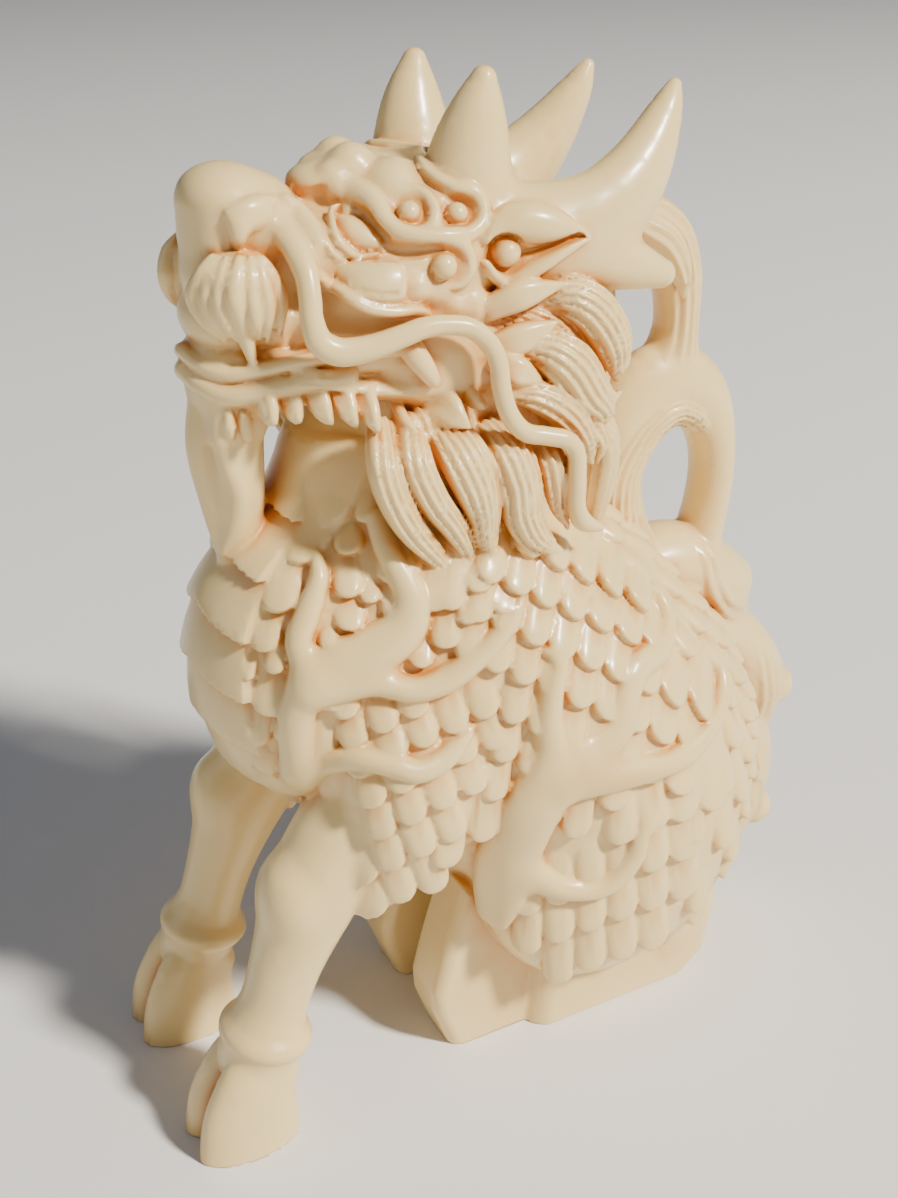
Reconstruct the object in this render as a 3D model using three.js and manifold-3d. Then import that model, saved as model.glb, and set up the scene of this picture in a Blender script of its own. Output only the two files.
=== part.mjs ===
// A cast figurine of a seated qilin: a dragon's head with four horns, a scaled body and cloven hooves.
// It is one solid casting, the same on both sides of X = 0. It faces -Y and stands on Z = 0.
import * as THREE from 'three';
import { mergeVertices } from 'three/addons/utils/BufferGeometryUtils.js';
import Module from 'manifold-3d';

// Driving dimensions, in millimetres. The stations of the forms below share one datum, in which the soles
// lie at height GROUND and the middle of the figure's depth at MIDDLE_Y. Both are moved to zero at the end.
const GROUND = 1.2;
const MIDDLE_Y = 17.6;
const LEG_X = 11;
const HOOF_LENGTH = 12.6;
const TOE_SPREAD = 2.8;
const MUZZLE_Y = -14;
const JAW_Z = 93;
const WHISKER_RADIUS = 0.95;
const PLATE_HALF_HEIGHT = 4.4;
const PLATE_HALF_DEPTH = 2;
const PLATE_BOW = 0.35;
const CUT_DEPTH = 40;
const THINNEST = 0.05;
const IVORY = 0xf0dfbd;
const ROUGHNESS = 0.35;

const SIDEWAYS = [1, 0, 0];

const wasm = await Module();
wasm.setup();

// A closed three.js geometry as a solid that can be joined and cut.
function solidOf(geometry) {
  geometry.deleteAttribute('normal');
  geometry.deleteAttribute('uv');
  const merged = mergeVertices(geometry);
  return new wasm.Manifold(new wasm.Mesh({
    numProp: 3,
    vertProperties: new Float32Array(merged.attributes.position.array),
    triVerts: new Uint32Array(merged.index.array),
  }));
}

// A strand is a cylinder bent along a smooth curve. A station is [x, y, z, half width, half depth]:
// the depth lies along FACING and the width across it, and without a depth the strand is round.
function strand(stations, facing, sides, steps) {
  const places = stations.map(([x, y, z]) => new THREE.Vector3(x, y, z));
  const girths = stations.map(([, , , width, depth = width]) => new THREE.Vector3(width, depth, 0));
  const spine = new THREE.CatmullRomCurve3(places, false, 'catmullrom');
  const girth = new THREE.CatmullRomCurve3(girths, false, 'catmullrom');
  const tube = new THREE.CylinderGeometry(1, 1, 1, sides, steps);
  const vertices = tube.attributes.position;
  const out = new THREE.Vector3(...facing);
  for (let i = 0; i < vertices.count; i += 1) {
    const along = vertices.getY(i) + 0.5;
    const tangent = spine.getTangent(along);
    const across = tangent.clone().cross(out).normalize();
    const outward = across.clone().cross(tangent);
    const half = girth.getPoint(along);
    const point = spine.getPoint(along);
    point.addScaledVector(across, vertices.getX(i) * Math.max(half.x, THINNEST));
    point.addScaledVector(outward, vertices.getZ(i) * Math.max(half.y, THINNEST));
    vertices.setXYZ(i, point.x, point.y, point.z);
  }
  return solidOf(tube);
}

// An egg is a sphere scaled to three radii.
function egg([x, y, z], [rx, ry, rz], round, rows) {
  const ball = new THREE.SphereGeometry(1, round, rows);
  ball.rotateX(Math.PI / 2);
  ball.scale(rx, ry, rz);
  ball.translate(x, y, z);
  return solidOf(ball);
}

// A slab is a side outline in Y and Z, as thick as HALF on each side of X = CENTRE, with bevelled edges.
function slab(outline, centre, half, bevel) {
  const shape = new THREE.Shape(outline.map(([y, z]) => new THREE.Vector2(y, z)));
  const block = new THREE.ExtrudeGeometry(shape, {
    depth: 2 * (half - bevel),
    steps: 1,
    bevelThickness: bevel,
    bevelSize: bevel,
    bevelOffset: -bevel,
    bevelSegments: 1,
  });
  block.translate(0, 0, bevel - half);
  block.applyMatrix4(new THREE.Matrix4().set(0, 0, 1, centre, 1, 0, 0, 0, 0, 1, 0, 0, 0, 0, 0, 1));
  return solidOf(block);
}

const flip = ([x, ...rest]) => [-x, ...rest];

function strands(stations, facing, sides, steps) {
  return [strand(stations, facing, sides, steps), strand(stations.map(flip), flip(facing), sides, steps)];
}

function eggs(centre, radii, round, rows) {
  return [egg(centre, radii, round, rows), egg(flip(centre), radii, round, rows)];
}

function slabs(outline, centre, half, bevel) {
  return [slab(outline, centre, half, bevel), slab(outline, -centre, half, bevel)];
}

// The seated body, from the rump up to the top of the neck, with its breast, haunches and elbows.
function body() {
  const trunk = [
    [0, 52, 8, 8, 7],
    [0, 48, 13, 14, 14],
    [0, 40, 22, 20, 20],
    [0, 29.5, 35, 24, 22.5],
    [0, 18.5, 48, 24, 23],
    [0, 10, 60, 21.5, 20.5],
    [0, 6, 70, 16.5, 17],
    [0, 5.5, 80, 12, 13],
    [0, 7, 93, 10.5, 12],
  ];
  const elbow = [
    [12, 4, 60, 12, 6],
    [14, 0, 48, 11.5, 7],
    [13, -5, 38, 6.5, 5.5],
    [12, -8, 30.5, 1.5, 3],
  ];
  return [
    strand(trunk, SIDEWAYS, 12, 8),
    egg([0, -2.8, 59.5], [16.5, 19.3, 20.8], 10, 7),
    ...eggs([13, 27, 27], [8.5, 20, 21], 9, 6),
    ...strands(elbow, SIDEWAYS, 6, 3),
  ];
}

// The breast plates lap over each other down the front. A row is [y, z, half width, slope]:
// each plate faces forward, up by its slope.
function breastPlates() {
  const rows = [
    [-11.5, 77.5, 5.5, 0.9],
    [-16.5, 72.5, 7.5, 0.7],
    [-19.8, 66, 9, 0.3],
    [-20.9, 59, 9.5, 0],
    [-19.8, 52, 9.5, -0.3],
    [-16, 45.5, 8.5, -0.6],
    [-10.5, 40, 7.5, -0.9],
  ];
  return rows.map(([y, z, halfWidth, slope]) => {
    const stations = [-1, -0.5, 0, 0.5, 1].map((side) => (
      [side * halfWidth, y + PLATE_BOW * side * side * halfWidth, z, PLATE_HALF_HEIGHT, PLATE_HALF_DEPTH]
    ));
    return strand(stations, [0, -1, slope], 4, 4);
  });
}

// A fore leg with its knee and fetlock, and the two toes of its hoof.
function foreLegs() {
  const leg = [
    [LEG_X, -3, 47, 7.5, 6],
    [LEG_X, -9.5, 40, 6.8, 5.8],
    [LEG_X, -14, 33.5, 6.1, 5.8],
    [LEG_X, -17.5, 25, 4.6, 4.6],
    [LEG_X, -19.5, 19.5, 4.4, 4.4],
    [LEG_X, -21.3, 15, 5.5, 5.4],
    [LEG_X, -22.4, 10, 4.4, 4.4],
  ];
  const toe = (side) => [
    [LEG_X + side * 0.65 * TOE_SPREAD, -21.8, 12.5, 4, 2.2],
    [LEG_X + side * 0.85 * TOE_SPREAD, -23.2, 9, 5.2, 2.7],
    [LEG_X + side * TOE_SPREAD, -24.4, 5, 6.2, 2.9],
    [LEG_X + side * TOE_SPREAD, -24.6, 0, HOOF_LENGTH / 2, 2.9],
  ];
  return [
    ...strands(leg, SIDEWAYS, 7, 7),
    ...strands(toe(-1), SIDEWAYS, 6, 2),
    ...strands(toe(1), SIDEWAYS, 6, 2),
  ];
}

// A hind foot: the squared hoof under the belly, and the long foot that lies back to the heel.
function hindFeet() {
  const hoof = [[5.5, -1], [18, -1], [19, 10], [14, 26], [5, 26], [2, 9]];
  const foot = [[15, -1], [38, -1], [44, 3], [45.5, 12], [41, 17], [17, 17]];
  return [...slabs(hoof, 7.5, 4, 0.8), ...slabs(foot, 9, 5, 2)];
}

// The skull, the muzzle with its nose, the jaw, and the goatee that hangs from the chin to the breast.
function head() {
  const muzzle = [
    [0, 6, 102, 9, 12],
    [0, -3, 102.5, 8.5, 10.6],
    [0, MUZZLE_Y + 2, 102.5, 7.5, 8.5],
    [0, MUZZLE_Y - 4, 101.5, 6, 6.4],
  ];
  const jaw = [
    [0, 8, JAW_Z, 4, 13],
    [0, -2, JAW_Z, 3, 12],
    [0, MUZZLE_Y + 3, JAW_Z, 2.8, 8.5],
    [0, MUZZLE_Y - 4.5, JAW_Z, 2.6, 4.5],
  ];
  const goatee = [
    [0, -15.6, JAW_Z, 4.8, 5],
    [0, -15.4, 86, 4, 4.2],
    [0, -15.4, 79, 3.4, 4],
    [0, -16, 71, 2.6, 3.4],
  ];
  return [
    egg([0, 4, 104], [13, 13, 10], 9, 6),
    egg([0, -13.5, 109], [6.2, 6.2, 5.6], 9, 6),
    ...eggs([4.6, -14.6, 107.2], [2.4, 2.2, 1.8], 6, 4),
    strand(muzzle, SIDEWAYS, 8, 4),
    strand(jaw, SIDEWAYS, 6, 4),
    strand(goatee, SIDEWAYS, 6, 4),
  ];
}

// A tuft of moustache fans out below each nostril.
function moustache() {
  const facing = [0.45, -0.85, 0.1];
  return [-0.9, 0, 0.8].flatMap((fan) => strands([
    [5 + fan * 1.2, -15.2 + fan * 1.5, 105.8, 1.2, 1.6],
    [5.2 + fan * 3, -16.4 + fan * 4, 102.5, 1.7, 1.9],
    [5 + fan * 2, -16 + fan * 3.4, 97.6, 0.3, 0.5],
  ], facing, 4, 3));
}

// The long whisker leaves the nose, dips round the lip and hangs over the beard.
function whiskers() {
  const route = [
    [4.5, -10.5, 107.5],
    [9.5, -11.2, 104.5],
    [11.5, -11.3, 99.3],
    [12.8, -8.7, 97.3],
    [13.6, -3.1, 98.8],
    [14.5, 2.1, 99.9],
    [15.6, 6, 97.5],
    [16.6, 8, 92.4],
    [17.4, 10.2, 88.3],
    [18, 13.5, 86.8],
    [18.6, 15.6, 83.6],
    [18.7, 16.4, 79.4],
    [18.6, 18.4, 76.5],
  ];
  return strands(route.map((place) => [...place, WHISKER_RADIUS]), SIDEWAYS, 4, 12);
}

// The eye under a heavy brow that ends in curls, the lumps of the forehead, the cheek and the lip's fold.
function brows() {
  const ridge = [
    [5, -7.8, 109.4, 1.5, 1.8],
    [8, -6, 110.2, 1.3, 1.6],
    [10, -3.2, 107.6, 1.1, 1.4],
    [11, 0.6, 106.6, 1.1, 1.4],
    [11.6, 4.6, 107, 1.1, 1.4],
    [10.8, 6.4, 109.6, 1, 1.2],
  ];
  const fold = [
    [7.5, -9.6, 107, 1, 1.2],
    [10.2, -7, 104.4, 1.1, 1.4],
    [11.8, -3.6, 102, 1.1, 1.4],
    [13, 0.8, 100.6, 0.7, 0.9],
  ];
  return [
    ...strands(ridge, SIDEWAYS, 4, 5),
    ...strands(fold, SIDEWAYS, 4, 3),
    ...eggs([8.8, -4, 107], [2, 3, 2], 5, 4),
    ...eggs([10, 0.9, 109.8], [1.8, 1.8, 1.8], 5, 4),
    ...eggs([10.4, 5, 110], [1.8, 1.8, 1.8], 5, 4),
    ...eggs([12.4, 3.2, 104.8], [1.6, 1.8, 1.8], 5, 4),
    ...eggs([3.2, -6.2, 109.6], [2.8, 2.6, 2.6], 5, 4),
    ...eggs([4.4, -1.4, 110.6], [4, 4.2, 2.8], 6, 4),
    ...eggs([9.8, -1.6, 102.6], [3.2, 5, 3], 5, 4),
  ];
}

// A leaf-shaped ear with a ball in it lies back under each horn.
function ears() {
  const leaf = [
    [11, 7.5, 104.4, 1.5, 1.5],
    [12, 12, 106, 3.2, 2.4],
    [12.6, 16, 106.3, 2.2, 1.8],
    [13, 19.4, 105.8, 0.5, 0.6],
  ];
  return [...strands(leaf, SIDEWAYS, 4, 3), ...eggs([13.6, 9, 105.6], [1.7, 1.7, 1.7], 5, 4)];
}

// A fang at each corner of the mouth, and a row of pointed teeth along the jaw.
function teeth() {
  const fang = [
    [10.8, -1.8, 101, 1.5, 1.3],
    [12.6, -0.6, 96.6, 1.3, 1.2],
    [13.5, 0.7, 92.6, 0.2],
  ];
  const row = [0, 1, 2, 3].flatMap((k) => strands([
    [6 + k * 1.2, -14 + k * 3, JAW_Z - 1, 1.5, 1],
    [6 + k * 1.3, -12.8 + k * 3.2, 88.6 - k * 0.4, 0.1],
  ], SIDEWAYS, 4, 1));
  return [...strands(fang, SIDEWAYS, 5, 2), ...row];
}

// The four horns, with the lobe below each back horn.
function horns() {
  const front = [
    [5.5, 9, 107, 5.6, 5],
    [6, 8.9, 112.5, 4.7, 4.2],
    [6.8, 9.2, 117, 3.4, 3],
    [7.4, 9.8, 121, 1.3],
  ];
  const back = [
    [6.5, 8, 106, 6, 4.5],
    [8.6, 15.5, 105.4, 5.6, 4.2],
    [9.8, 21.8, 106.8, 5.2, 3.8],
    [9.6, 26.8, 111, 3.9, 3],
    [8.6, 30.4, 116.2, 2.1, 1.9],
    [8.2, 31.8, 119, 0.8],
  ];
  const lobe = [
    [8.5, 14, 103.5, 4.5, 3],
    [11, 22, 103, 3.4, 3],
    [12.6, 28.4, 101, 1.6],
  ];
  return [
    ...strands(front, SIDEWAYS, 7, 4),
    ...strands(back, SIDEWAYS, 6, 7),
    ...strands(lobe, SIDEWAYS, 6, 3),
  ];
}

// The mass of hair behind the jaws and down the nape, and the locks of beard and mane that lie on it.
function hair() {
  const nape = [
    [0, 14, 106, 6, 8],
    [0, 14.5, 97, 9.5, 13],
    [0, 14, 86, 9.5, 14],
    [0, 12, 76, 9, 13],
    [0, 10, 68, 6, 9],
  ];
  const sideLocks = [
    [
      [11.5, -5.6, 91.5, 2.6, 1.6], [14.2, -5.4, 85, 3.4, 2.4],
      [14.8, -1.6, 78.5, 3.2, 2], [14, 4.4, 71.6, 0.5],
    ],
    [
      [12.5, -1.4, 91.5, 2.6, 1.6], [15.2, 1.4, 85, 3.2, 2.4],
      [15.8, 4.4, 78.6, 2.8, 2], [14.8, 8.2, 71, 0.5],
    ],
    [[13.5, 3, 90.5, 2.6, 1.6], [16.2, 6.6, 84.6, 3, 2.2], [16.6, 9, 78, 2.8, 2], [16.6, 13.8, 73.2, 0.5]],
    [
      [14.5, 8, 88, 2.4, 1.6], [16.4, 11.6, 83, 2.8, 2],
      [17, 13.4, 77.6, 2.6, 1.8], [16.6, 16.6, 74.6, 0.5],
    ],
    [[12, 6, 99.5, 2.6, 2], [14.6, 12.2, 101.4, 3.4, 2.4], [15.2, 18.8, 98, 3.4, 2.4], [15, 22, 91.5, 1.2]],
    [[13, 7, 96.4, 2.4, 2], [15.6, 12.4, 97.4, 3, 2.4], [16.2, 17.4, 92.4, 3.2, 2.4], [15, 22.4, 85, 0.8]],
    [[14, 8.5, 93, 2.4, 2], [16.4, 13, 92.6, 3, 2.2], [16.8, 17, 86.8, 3, 2.2], [15.4, 21.4, 80.4, 0.8]],
  ];
  const backLocks = [
    [[10, 16, 104, 3, 2.4], [12, 22.6, 101, 3.4, 2.4], [11.6, 25, 94, 3.2, 2.2], [11, 25.8, 87, 0.8]],
    [[4, 18, 105, 3, 2.4], [5, 24, 99, 3.6, 2.4], [5, 25.6, 90, 3.6, 2.2], [4.6, 25.4, 80, 1]],
    [[12, 16, 88, 3, 2], [11, 22.6, 84, 3.4, 2.2], [10, 23.4, 76.6, 3, 2], [9.6, 22.6, 70, 0.8]],
  ];
  const sideFacing = [1, 0, 0.1];
  const backFacing = [0.4, 1, 0.2];
  return [
    strand(nape, SIDEWAYS, 6, 4),
    ...sideLocks.flatMap((lock) => strands(lock, sideFacing, 4, 4)),
    ...backLocks.flatMap((lock) => strands(lock, backFacing, 4, 3)),
  ];
}

// Flame-like tendrils lie over the shoulder and the haunch.
function tendrils() {
  const shoulder = [
    [
      [15, -13.6, 48, 0.8], [15.4, -13.4, 55, 2.2, 1.4], [15.4, -12, 62, 2.2, 1.4],
      [13.4, -12.6, 68.6, 1.4, 1.2], [11.6, -11, 76, 0.5],
    ],
    [
      [15.8, -12, 62.4, 1.4], [17, -8, 67, 1.5], [16.6, -3.4, 70.8, 1.3],
      [15, -4.6, 76, 1.2], [13.4, -6, 81.6, 0.6],
    ],
    [
      [15.8, -12.4, 61.6, 1.4], [17.6, -7.6, 64.6, 1.6], [19.2, -2, 63.6, 1.5],
      [20, 4, 66.4, 1.1], [20.2, 8.4, 69.4, 0.4],
    ],
    [
      [15.6, -13.4, 53.6, 1.2], [17.4, -10, 55.4, 1.5], [19.4, -3.8, 53.2, 1.6],
      [20.4, 1.4, 54.6, 1.3], [20.4, 4, 57.6, 0.4],
    ],
  ];
  const haunch = [
    [
      [17.4, 8.6, 23, 4, 1], [19.4, 10, 33, 4, 1.6], [21.4, 12.4, 44, 2.8, 1.8],
      [21.8, 12.4, 54, 1.6, 1.4], [21.4, 10.8, 61.6, 0.5],
    ],
    [
      [21.2, 14, 43, 1.6], [22.6, 20, 47.6, 1.8], [23, 22.6, 55, 1.5],
      [22.4, 25.6, 61, 1.1], [20.6, 25.4, 66.6, 0.5],
    ],
    [
      [21, 12.6, 40, 1.6], [22.6, 20.4, 43.4, 1.7], [22.6, 30, 43.6, 1.6],
      [21.4, 36, 48.4, 1.2], [20.4, 35, 56, 0.5],
    ],
    [[19.4, 9.6, 31, 1.4], [21.2, 15.4, 28.6, 1.5], [22.2, 23, 30, 1.5], [22.2, 28.6, 35, 0.5]],
  ];
  return [...shoulder, ...haunch].flatMap((branch) => strands(branch, SIDEWAYS, 3, 4));
}

// The tail: a smooth stem arches forward to the back, and a second plume rises from it behind the horns.
function tail() {
  const arch = [
    [0, 43, 54, 4, 4.4],
    [0, 46.6, 62, 2.7, 3.6],
    [0, 47.6, 72, 2.6, 3.4],
    [0, 45, 80, 3.8, 3.6],
    [0, 39.4, 83.6, 5.2, 3.8],
    [0, 34, 80, 4.8, 4],
    [0, 31.4, 73, 4.2, 4.4],
    [0, 32.2, 65.4, 5.2, 4.8],
    [0, 35, 58, 6.5, 5],
  ];
  const plume = [
    [0, 39.6, 84, 4.6, 3.4],
    [0, 40.4, 90, 2.7, 3],
    [0, 39.8, 96.6, 3.2, 3.2],
    [0, 37, 102, 3.6, 3.6],
    [0, 31.6, 104.8, 3, 3],
    [0, 26, 103.6, 2, 2.4],
  ];
  const tip = [
    [2, 31, 104.4, 1.6, 2],
    [3.4, 35.4, 101.6, 2, 2],
    [3.8, 37.8, 97.6, 1.4, 1.4],
    [3.8, 38.4, 94.8, 0.3],
  ];
  return [strand(arch, SIDEWAYS, 6, 12), strand(plume, SIDEWAYS, 6, 6), ...strands(tip, SIDEWAYS, 4, 3)];
}

// Curled knobs run down the spine behind the tail, each at the end of a short swell.
function spine() {
  const swells = [
    [[33, 59, 4.6, 5], [41, 58.4, 5, 5], [49, 52.4, 4.8, 4.6]],
    [[47, 49, 5, 4.4], [54, 42, 5, 4.2], [59, 37, 4, 3.6]],
    [[53, 32, 5.4, 4], [57.4, 25, 4.8, 3.6], [59.6, 18, 3.6, 3.2]],
  ];
  const knobs = [[50.4, 52, 5.4, 5.2], [60.2, 37.4, 4.4, 4.6], [60.8, 17.6, 3.8, 4.4]];
  return [
    ...swells.map((swell) => strand(swell.map((station) => [0, ...station]), SIDEWAYS, 6, 3)),
    ...knobs.map(([y, z, across, deep]) => egg([0, y, z], [across, deep, deep], 7, 4)),
  ];
}

const forms = [
  body(), breastPlates(), foreLegs(), hindFeet(), head(), moustache(), whiskers(), brows(), ears(), teeth(),
  horns(), hair(), tendrils(), tail(), spine(),
].flat();
const cast = forms.reduce((sum, form) => sum.add(form));
const below = new THREE.BoxGeometry(4 * CUT_DEPTH, 4 * CUT_DEPTH, CUT_DEPTH);
below.translate(0, MIDDLE_Y, GROUND - CUT_DEPTH / 2);
const standing = cast.subtract(solidOf(below));

function meshOf(solid, name, material) {
  const { vertProperties, triVerts } = solid.getMesh();
  const geometry = new THREE.BufferGeometry();
  geometry.setAttribute('position', new THREE.BufferAttribute(new Float32Array(vertProperties), 3));
  geometry.setIndex(new THREE.BufferAttribute(new Uint32Array(triVerts), 1));
  geometry.translate(0, -MIDDLE_Y, -GROUND);
  geometry.computeVertexNormals();
  const mesh = new THREE.Mesh(geometry, material);
  mesh.name = name;
  return mesh;
}

const resin = new THREE.MeshStandardMaterial({ color: IVORY, roughness: ROUGHNESS, metalness: 0 });
const figurine = new THREE.Group();
figurine.add(meshOf(standing, 'qilin_figurine', resin));

export default figurine;
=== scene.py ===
import math

import bpy
import numpy as np
import openvdb
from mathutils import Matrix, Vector


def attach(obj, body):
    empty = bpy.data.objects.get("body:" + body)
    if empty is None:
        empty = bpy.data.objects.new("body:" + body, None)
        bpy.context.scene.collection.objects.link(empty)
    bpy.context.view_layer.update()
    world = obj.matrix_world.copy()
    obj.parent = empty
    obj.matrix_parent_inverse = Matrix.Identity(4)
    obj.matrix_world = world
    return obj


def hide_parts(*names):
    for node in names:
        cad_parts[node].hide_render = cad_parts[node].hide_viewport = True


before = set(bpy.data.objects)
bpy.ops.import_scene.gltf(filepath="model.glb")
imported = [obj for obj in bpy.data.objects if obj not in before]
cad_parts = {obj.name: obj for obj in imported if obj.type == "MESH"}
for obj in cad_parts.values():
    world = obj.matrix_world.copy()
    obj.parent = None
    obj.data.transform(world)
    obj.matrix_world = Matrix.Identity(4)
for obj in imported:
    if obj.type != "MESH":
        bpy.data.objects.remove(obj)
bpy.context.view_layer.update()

# The figurine is one casting in ivory resin of a seated qilin. Its model was carved by hand, and it is carved
# here in the same order. First comes this smooth blank of the body, from the rump up to the top of the neck,
# with its breast, haunches and elbows. Stations are in millimetres on the datum of the solid model.
CHIP = 0.28
BLOCK_LOW, BLOCK_HIGH = [0, -31.5, -0.2], [25.4, 66.5, 123]
FAR = 9.0
TINY = 1e-6
SIGHT_PACE = 0.4
SIGHT_HALVINGS = 8
SKIN_MARGIN = 1.2
THINNEST = 0.05
RIDGE_SPREAD = 1.45
FULL_GROOVE = 1.2
SIDEWAYS = (1, 0, 0)


def unit(vectors):
    return vectors / np.maximum(np.linalg.norm(vectors, axis=-1, keepdims=True), 1e-9)


def smooth_route(stations, pitch):
    """Samples along a Catmull-Rom curve through the stations, about PITCH apart, and the curve's direction."""
    stations = np.array(stations, float)
    ends = np.vstack([2 * stations[0] - stations[1], stations, 2 * stations[-1] - stations[-2]])
    samples, headings = [], []
    for a, b, c, d in zip(ends, ends[1:], ends[2:], ends[3:]):
        count = max(2, math.ceil(np.linalg.norm((c - b)[:3]) / pitch))
        for t in np.arange(count) / count:
            bend = a - 2.5 * b + 2 * c - d / 2
            twist = 1.5 * (b - c) + (d - a) / 2
            samples.append(b + t * ((c - a) / 2 + t * (bend + t * twist)))
            headings.append((c - a) / 2 + t * (2 * a - 5 * b + 4 * c - d + 1.5 * t * (3 * (b - c) + d - a)))
    samples.append(ends[-2])
    headings.append((ends[-1] - ends[-3]) / 2)
    return np.array(samples), unit(np.array(headings)[:, :3])


class Carving:
    """The distance to the surface, in millimetres, on a grid over the half with X >= 0. The other half mirrors it."""

    def __init__(self):
        self.low = np.array(BLOCK_LOW, float)
        counts = np.ceil((np.array(BLOCK_HIGH) - self.low) / CHIP).astype(int) + 1
        self.axes = [start + CHIP * np.arange(count) for start, count in zip(self.low, counts)]
        self.field = np.full(counts, FAR, np.float32)

    def copy(self):
        copied = Carving()
        copied.field[:] = self.field
        return copied

    def room(self, low, high):
        first = np.maximum(np.floor((np.array(low) - self.low) / CHIP).astype(int), 0)
        last = np.minimum(np.ceil((np.array(high) - self.low) / CHIP).astype(int) + 1, self.field.shape)
        return first, np.maximum(last, first)

    def spots(self, first, last):
        return np.ix_(*[axis[a:b].astype(np.float32) for axis, a, b in zip(self.axes, first, last)])

    def join(self, first, form, soft, cut=False):
        """Adds a form, or cuts it away, with a fillet SOFT wide."""
        where = tuple(slice(a, a + n) for a, n in zip(first, form.shape))
        old = self.field[where]
        fillet = np.maximum(soft - np.abs(old + form if cut else old - form), 0)
        fillet = fillet * fillet / (4 * soft)
        self.field[where] = np.maximum(old, -form) + fillet if cut else np.minimum(old, form) - fillet

    def height(self, points):
        """The field at some points, between its grid's corners."""
        places = np.array(points, float)
        places[:, 0] = np.abs(places[:, 0])
        places = (places - self.low) / CHIP
        places = np.clip(places, 0, np.array(self.field.shape) - 1.001)
        corner = places.astype(int)
        part = places - corner
        total = 0
        for dx in (0, 1):
            for dy in (0, 1):
                for dz in (0, 1):
                    share = (abs(1 - dx - part[:, 0]) * abs(1 - dy - part[:, 1]) * abs(1 - dz - part[:, 2]))
                    total = total + share * self.field[corner[:, 0] + dx, corner[:, 1] + dy, corner[:, 2] + dz]
        return total

    def normals(self, points, reach=0.3):
        steps = reach * np.eye(3)
        return unit(np.stack([self.height(points + s) - self.height(points - s) for s in steps], axis=1))

    def reach(self, starts, ways, near, far):
        """Where lines of sight first meet the surface. One that misses it gives NaN."""
        found = np.full(len(ways), np.nan)
        for gone in np.arange(near, far, SIGHT_PACE):
            within = self.height(starts + gone * ways) < 0
            found = np.where(np.isnan(found) & within, gone, found)
        low, high = found - SIGHT_PACE, found
        for _ in range(SIGHT_HALVINGS):
            middle = (low + high) / 2
            within = self.height(np.nan_to_num(starts + middle[:, None] * ways)) < 0
            low, high = np.where(within, low, middle), np.where(within, middle, high)
        return starts + high[:, None] * ways


def filled(stations, count):
    """Stations of COUNT values each. One without its last, the half depth, is as deep as wide."""
    return np.array([[*station, station[-1]][:count] for station in stations], float)


def strand(carving, stations, facing=SIDEWAYS, soft=0.4, ridges=0, groove=0.0, around=False, pitch=1.0, cut=False):
    """A round or flattened strand. A station is x, y, z, half width and half depth, which lies along FACING."""
    stations = filled(stations, 5)
    facing = np.broadcast_to(np.array(facing, float), (len(stations), 3))
    samples, headings = smooth_route(np.hstack([stations, facing]), pitch)
    across = unit(np.cross(headings, samples[:, 5:8]))
    outward = np.cross(across, headings)
    girth = np.maximum(samples[:, 3:5], THINNEST)
    places = samples[:, :3]
    margin = (girth.max(axis=1) + SKIN_MARGIN + soft)[:, None]
    sides = [1] if (places[:, 0] == 0).all() or (places - margin).min(axis=0)[0] > 0 else [1, -1]
    first, last = carving.room((places - margin).min(axis=0), (places + margin).max(axis=0))
    if (last <= first).any():
        return
    form = np.full(last - first, FAR, np.float32)
    for side in sides:
        mirror = np.array([side, 1, 1])
        at, cross, out = places * mirror, across * mirror, outward * mirror
        for k in range(len(at) - 1):
            low = np.minimum(at[k] - margin[k], at[k + 1] - margin[k + 1])
            high = np.maximum(at[k] + margin[k], at[k + 1] + margin[k + 1])
            begin, end = carving.room(low, high)
            end = np.minimum(end, last)
            if (end <= begin).any():
                continue
            spots = carving.spots(begin, end)
            gone = [spot - value for spot, value in zip(spots, at[k])]
            left = [spot - value for spot, value in zip(spots, at[k + 1])]
            way = at[k + 1] - at[k]
            length = float(np.linalg.norm(way))
            run = sum(g * np.float32(w / length) for g, w in zip(gone, way))
            share = np.clip(run / length, 0, 1)
            beyond = run - share * length
            rest = 1 - share
            u = (rest * sum(g * np.float32(v) for g, v in zip(gone, cross[k]))
                 + share * sum(g * np.float32(v) for g, v in zip(left, cross[k + 1])))
            v = (rest * sum(g * np.float32(v) for g, v in zip(gone, out[k]))
                 + share * sum(g * np.float32(v) for g, v in zip(left, out[k + 1])))
            width = rest * girth[k, 0] + share * girth[k + 1, 0]
            depth = rest * girth[k, 1] + share * girth[k + 1, 1]
            cap = np.minimum(width, depth)
            near = (u / width) ** 2 + (v / depth) ** 2 + (beyond / cap) ** 2 + TINY
            steep = (u / width ** 2) ** 2 + (v / depth ** 2) ** 2 + (beyond / cap ** 2) ** 2 + TINY
            near = np.sqrt(near)
            distance = near * (near - 1) / np.sqrt(steep)
            if ridges:
                turn = np.arctan2(v / depth, u / width) if around else RIDGE_SPREAD * u / width
                fade = np.clip(cap / FULL_GROOVE, 0, 1)
                distance = distance + groove * fade * np.cos(ridges * turn) ** 2
            part = tuple(slice(a, b) for a, b in zip(begin - first, end - first))
            form[part] = np.minimum(form[part], distance)
    carving.join(first, form, soft, cut)


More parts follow.
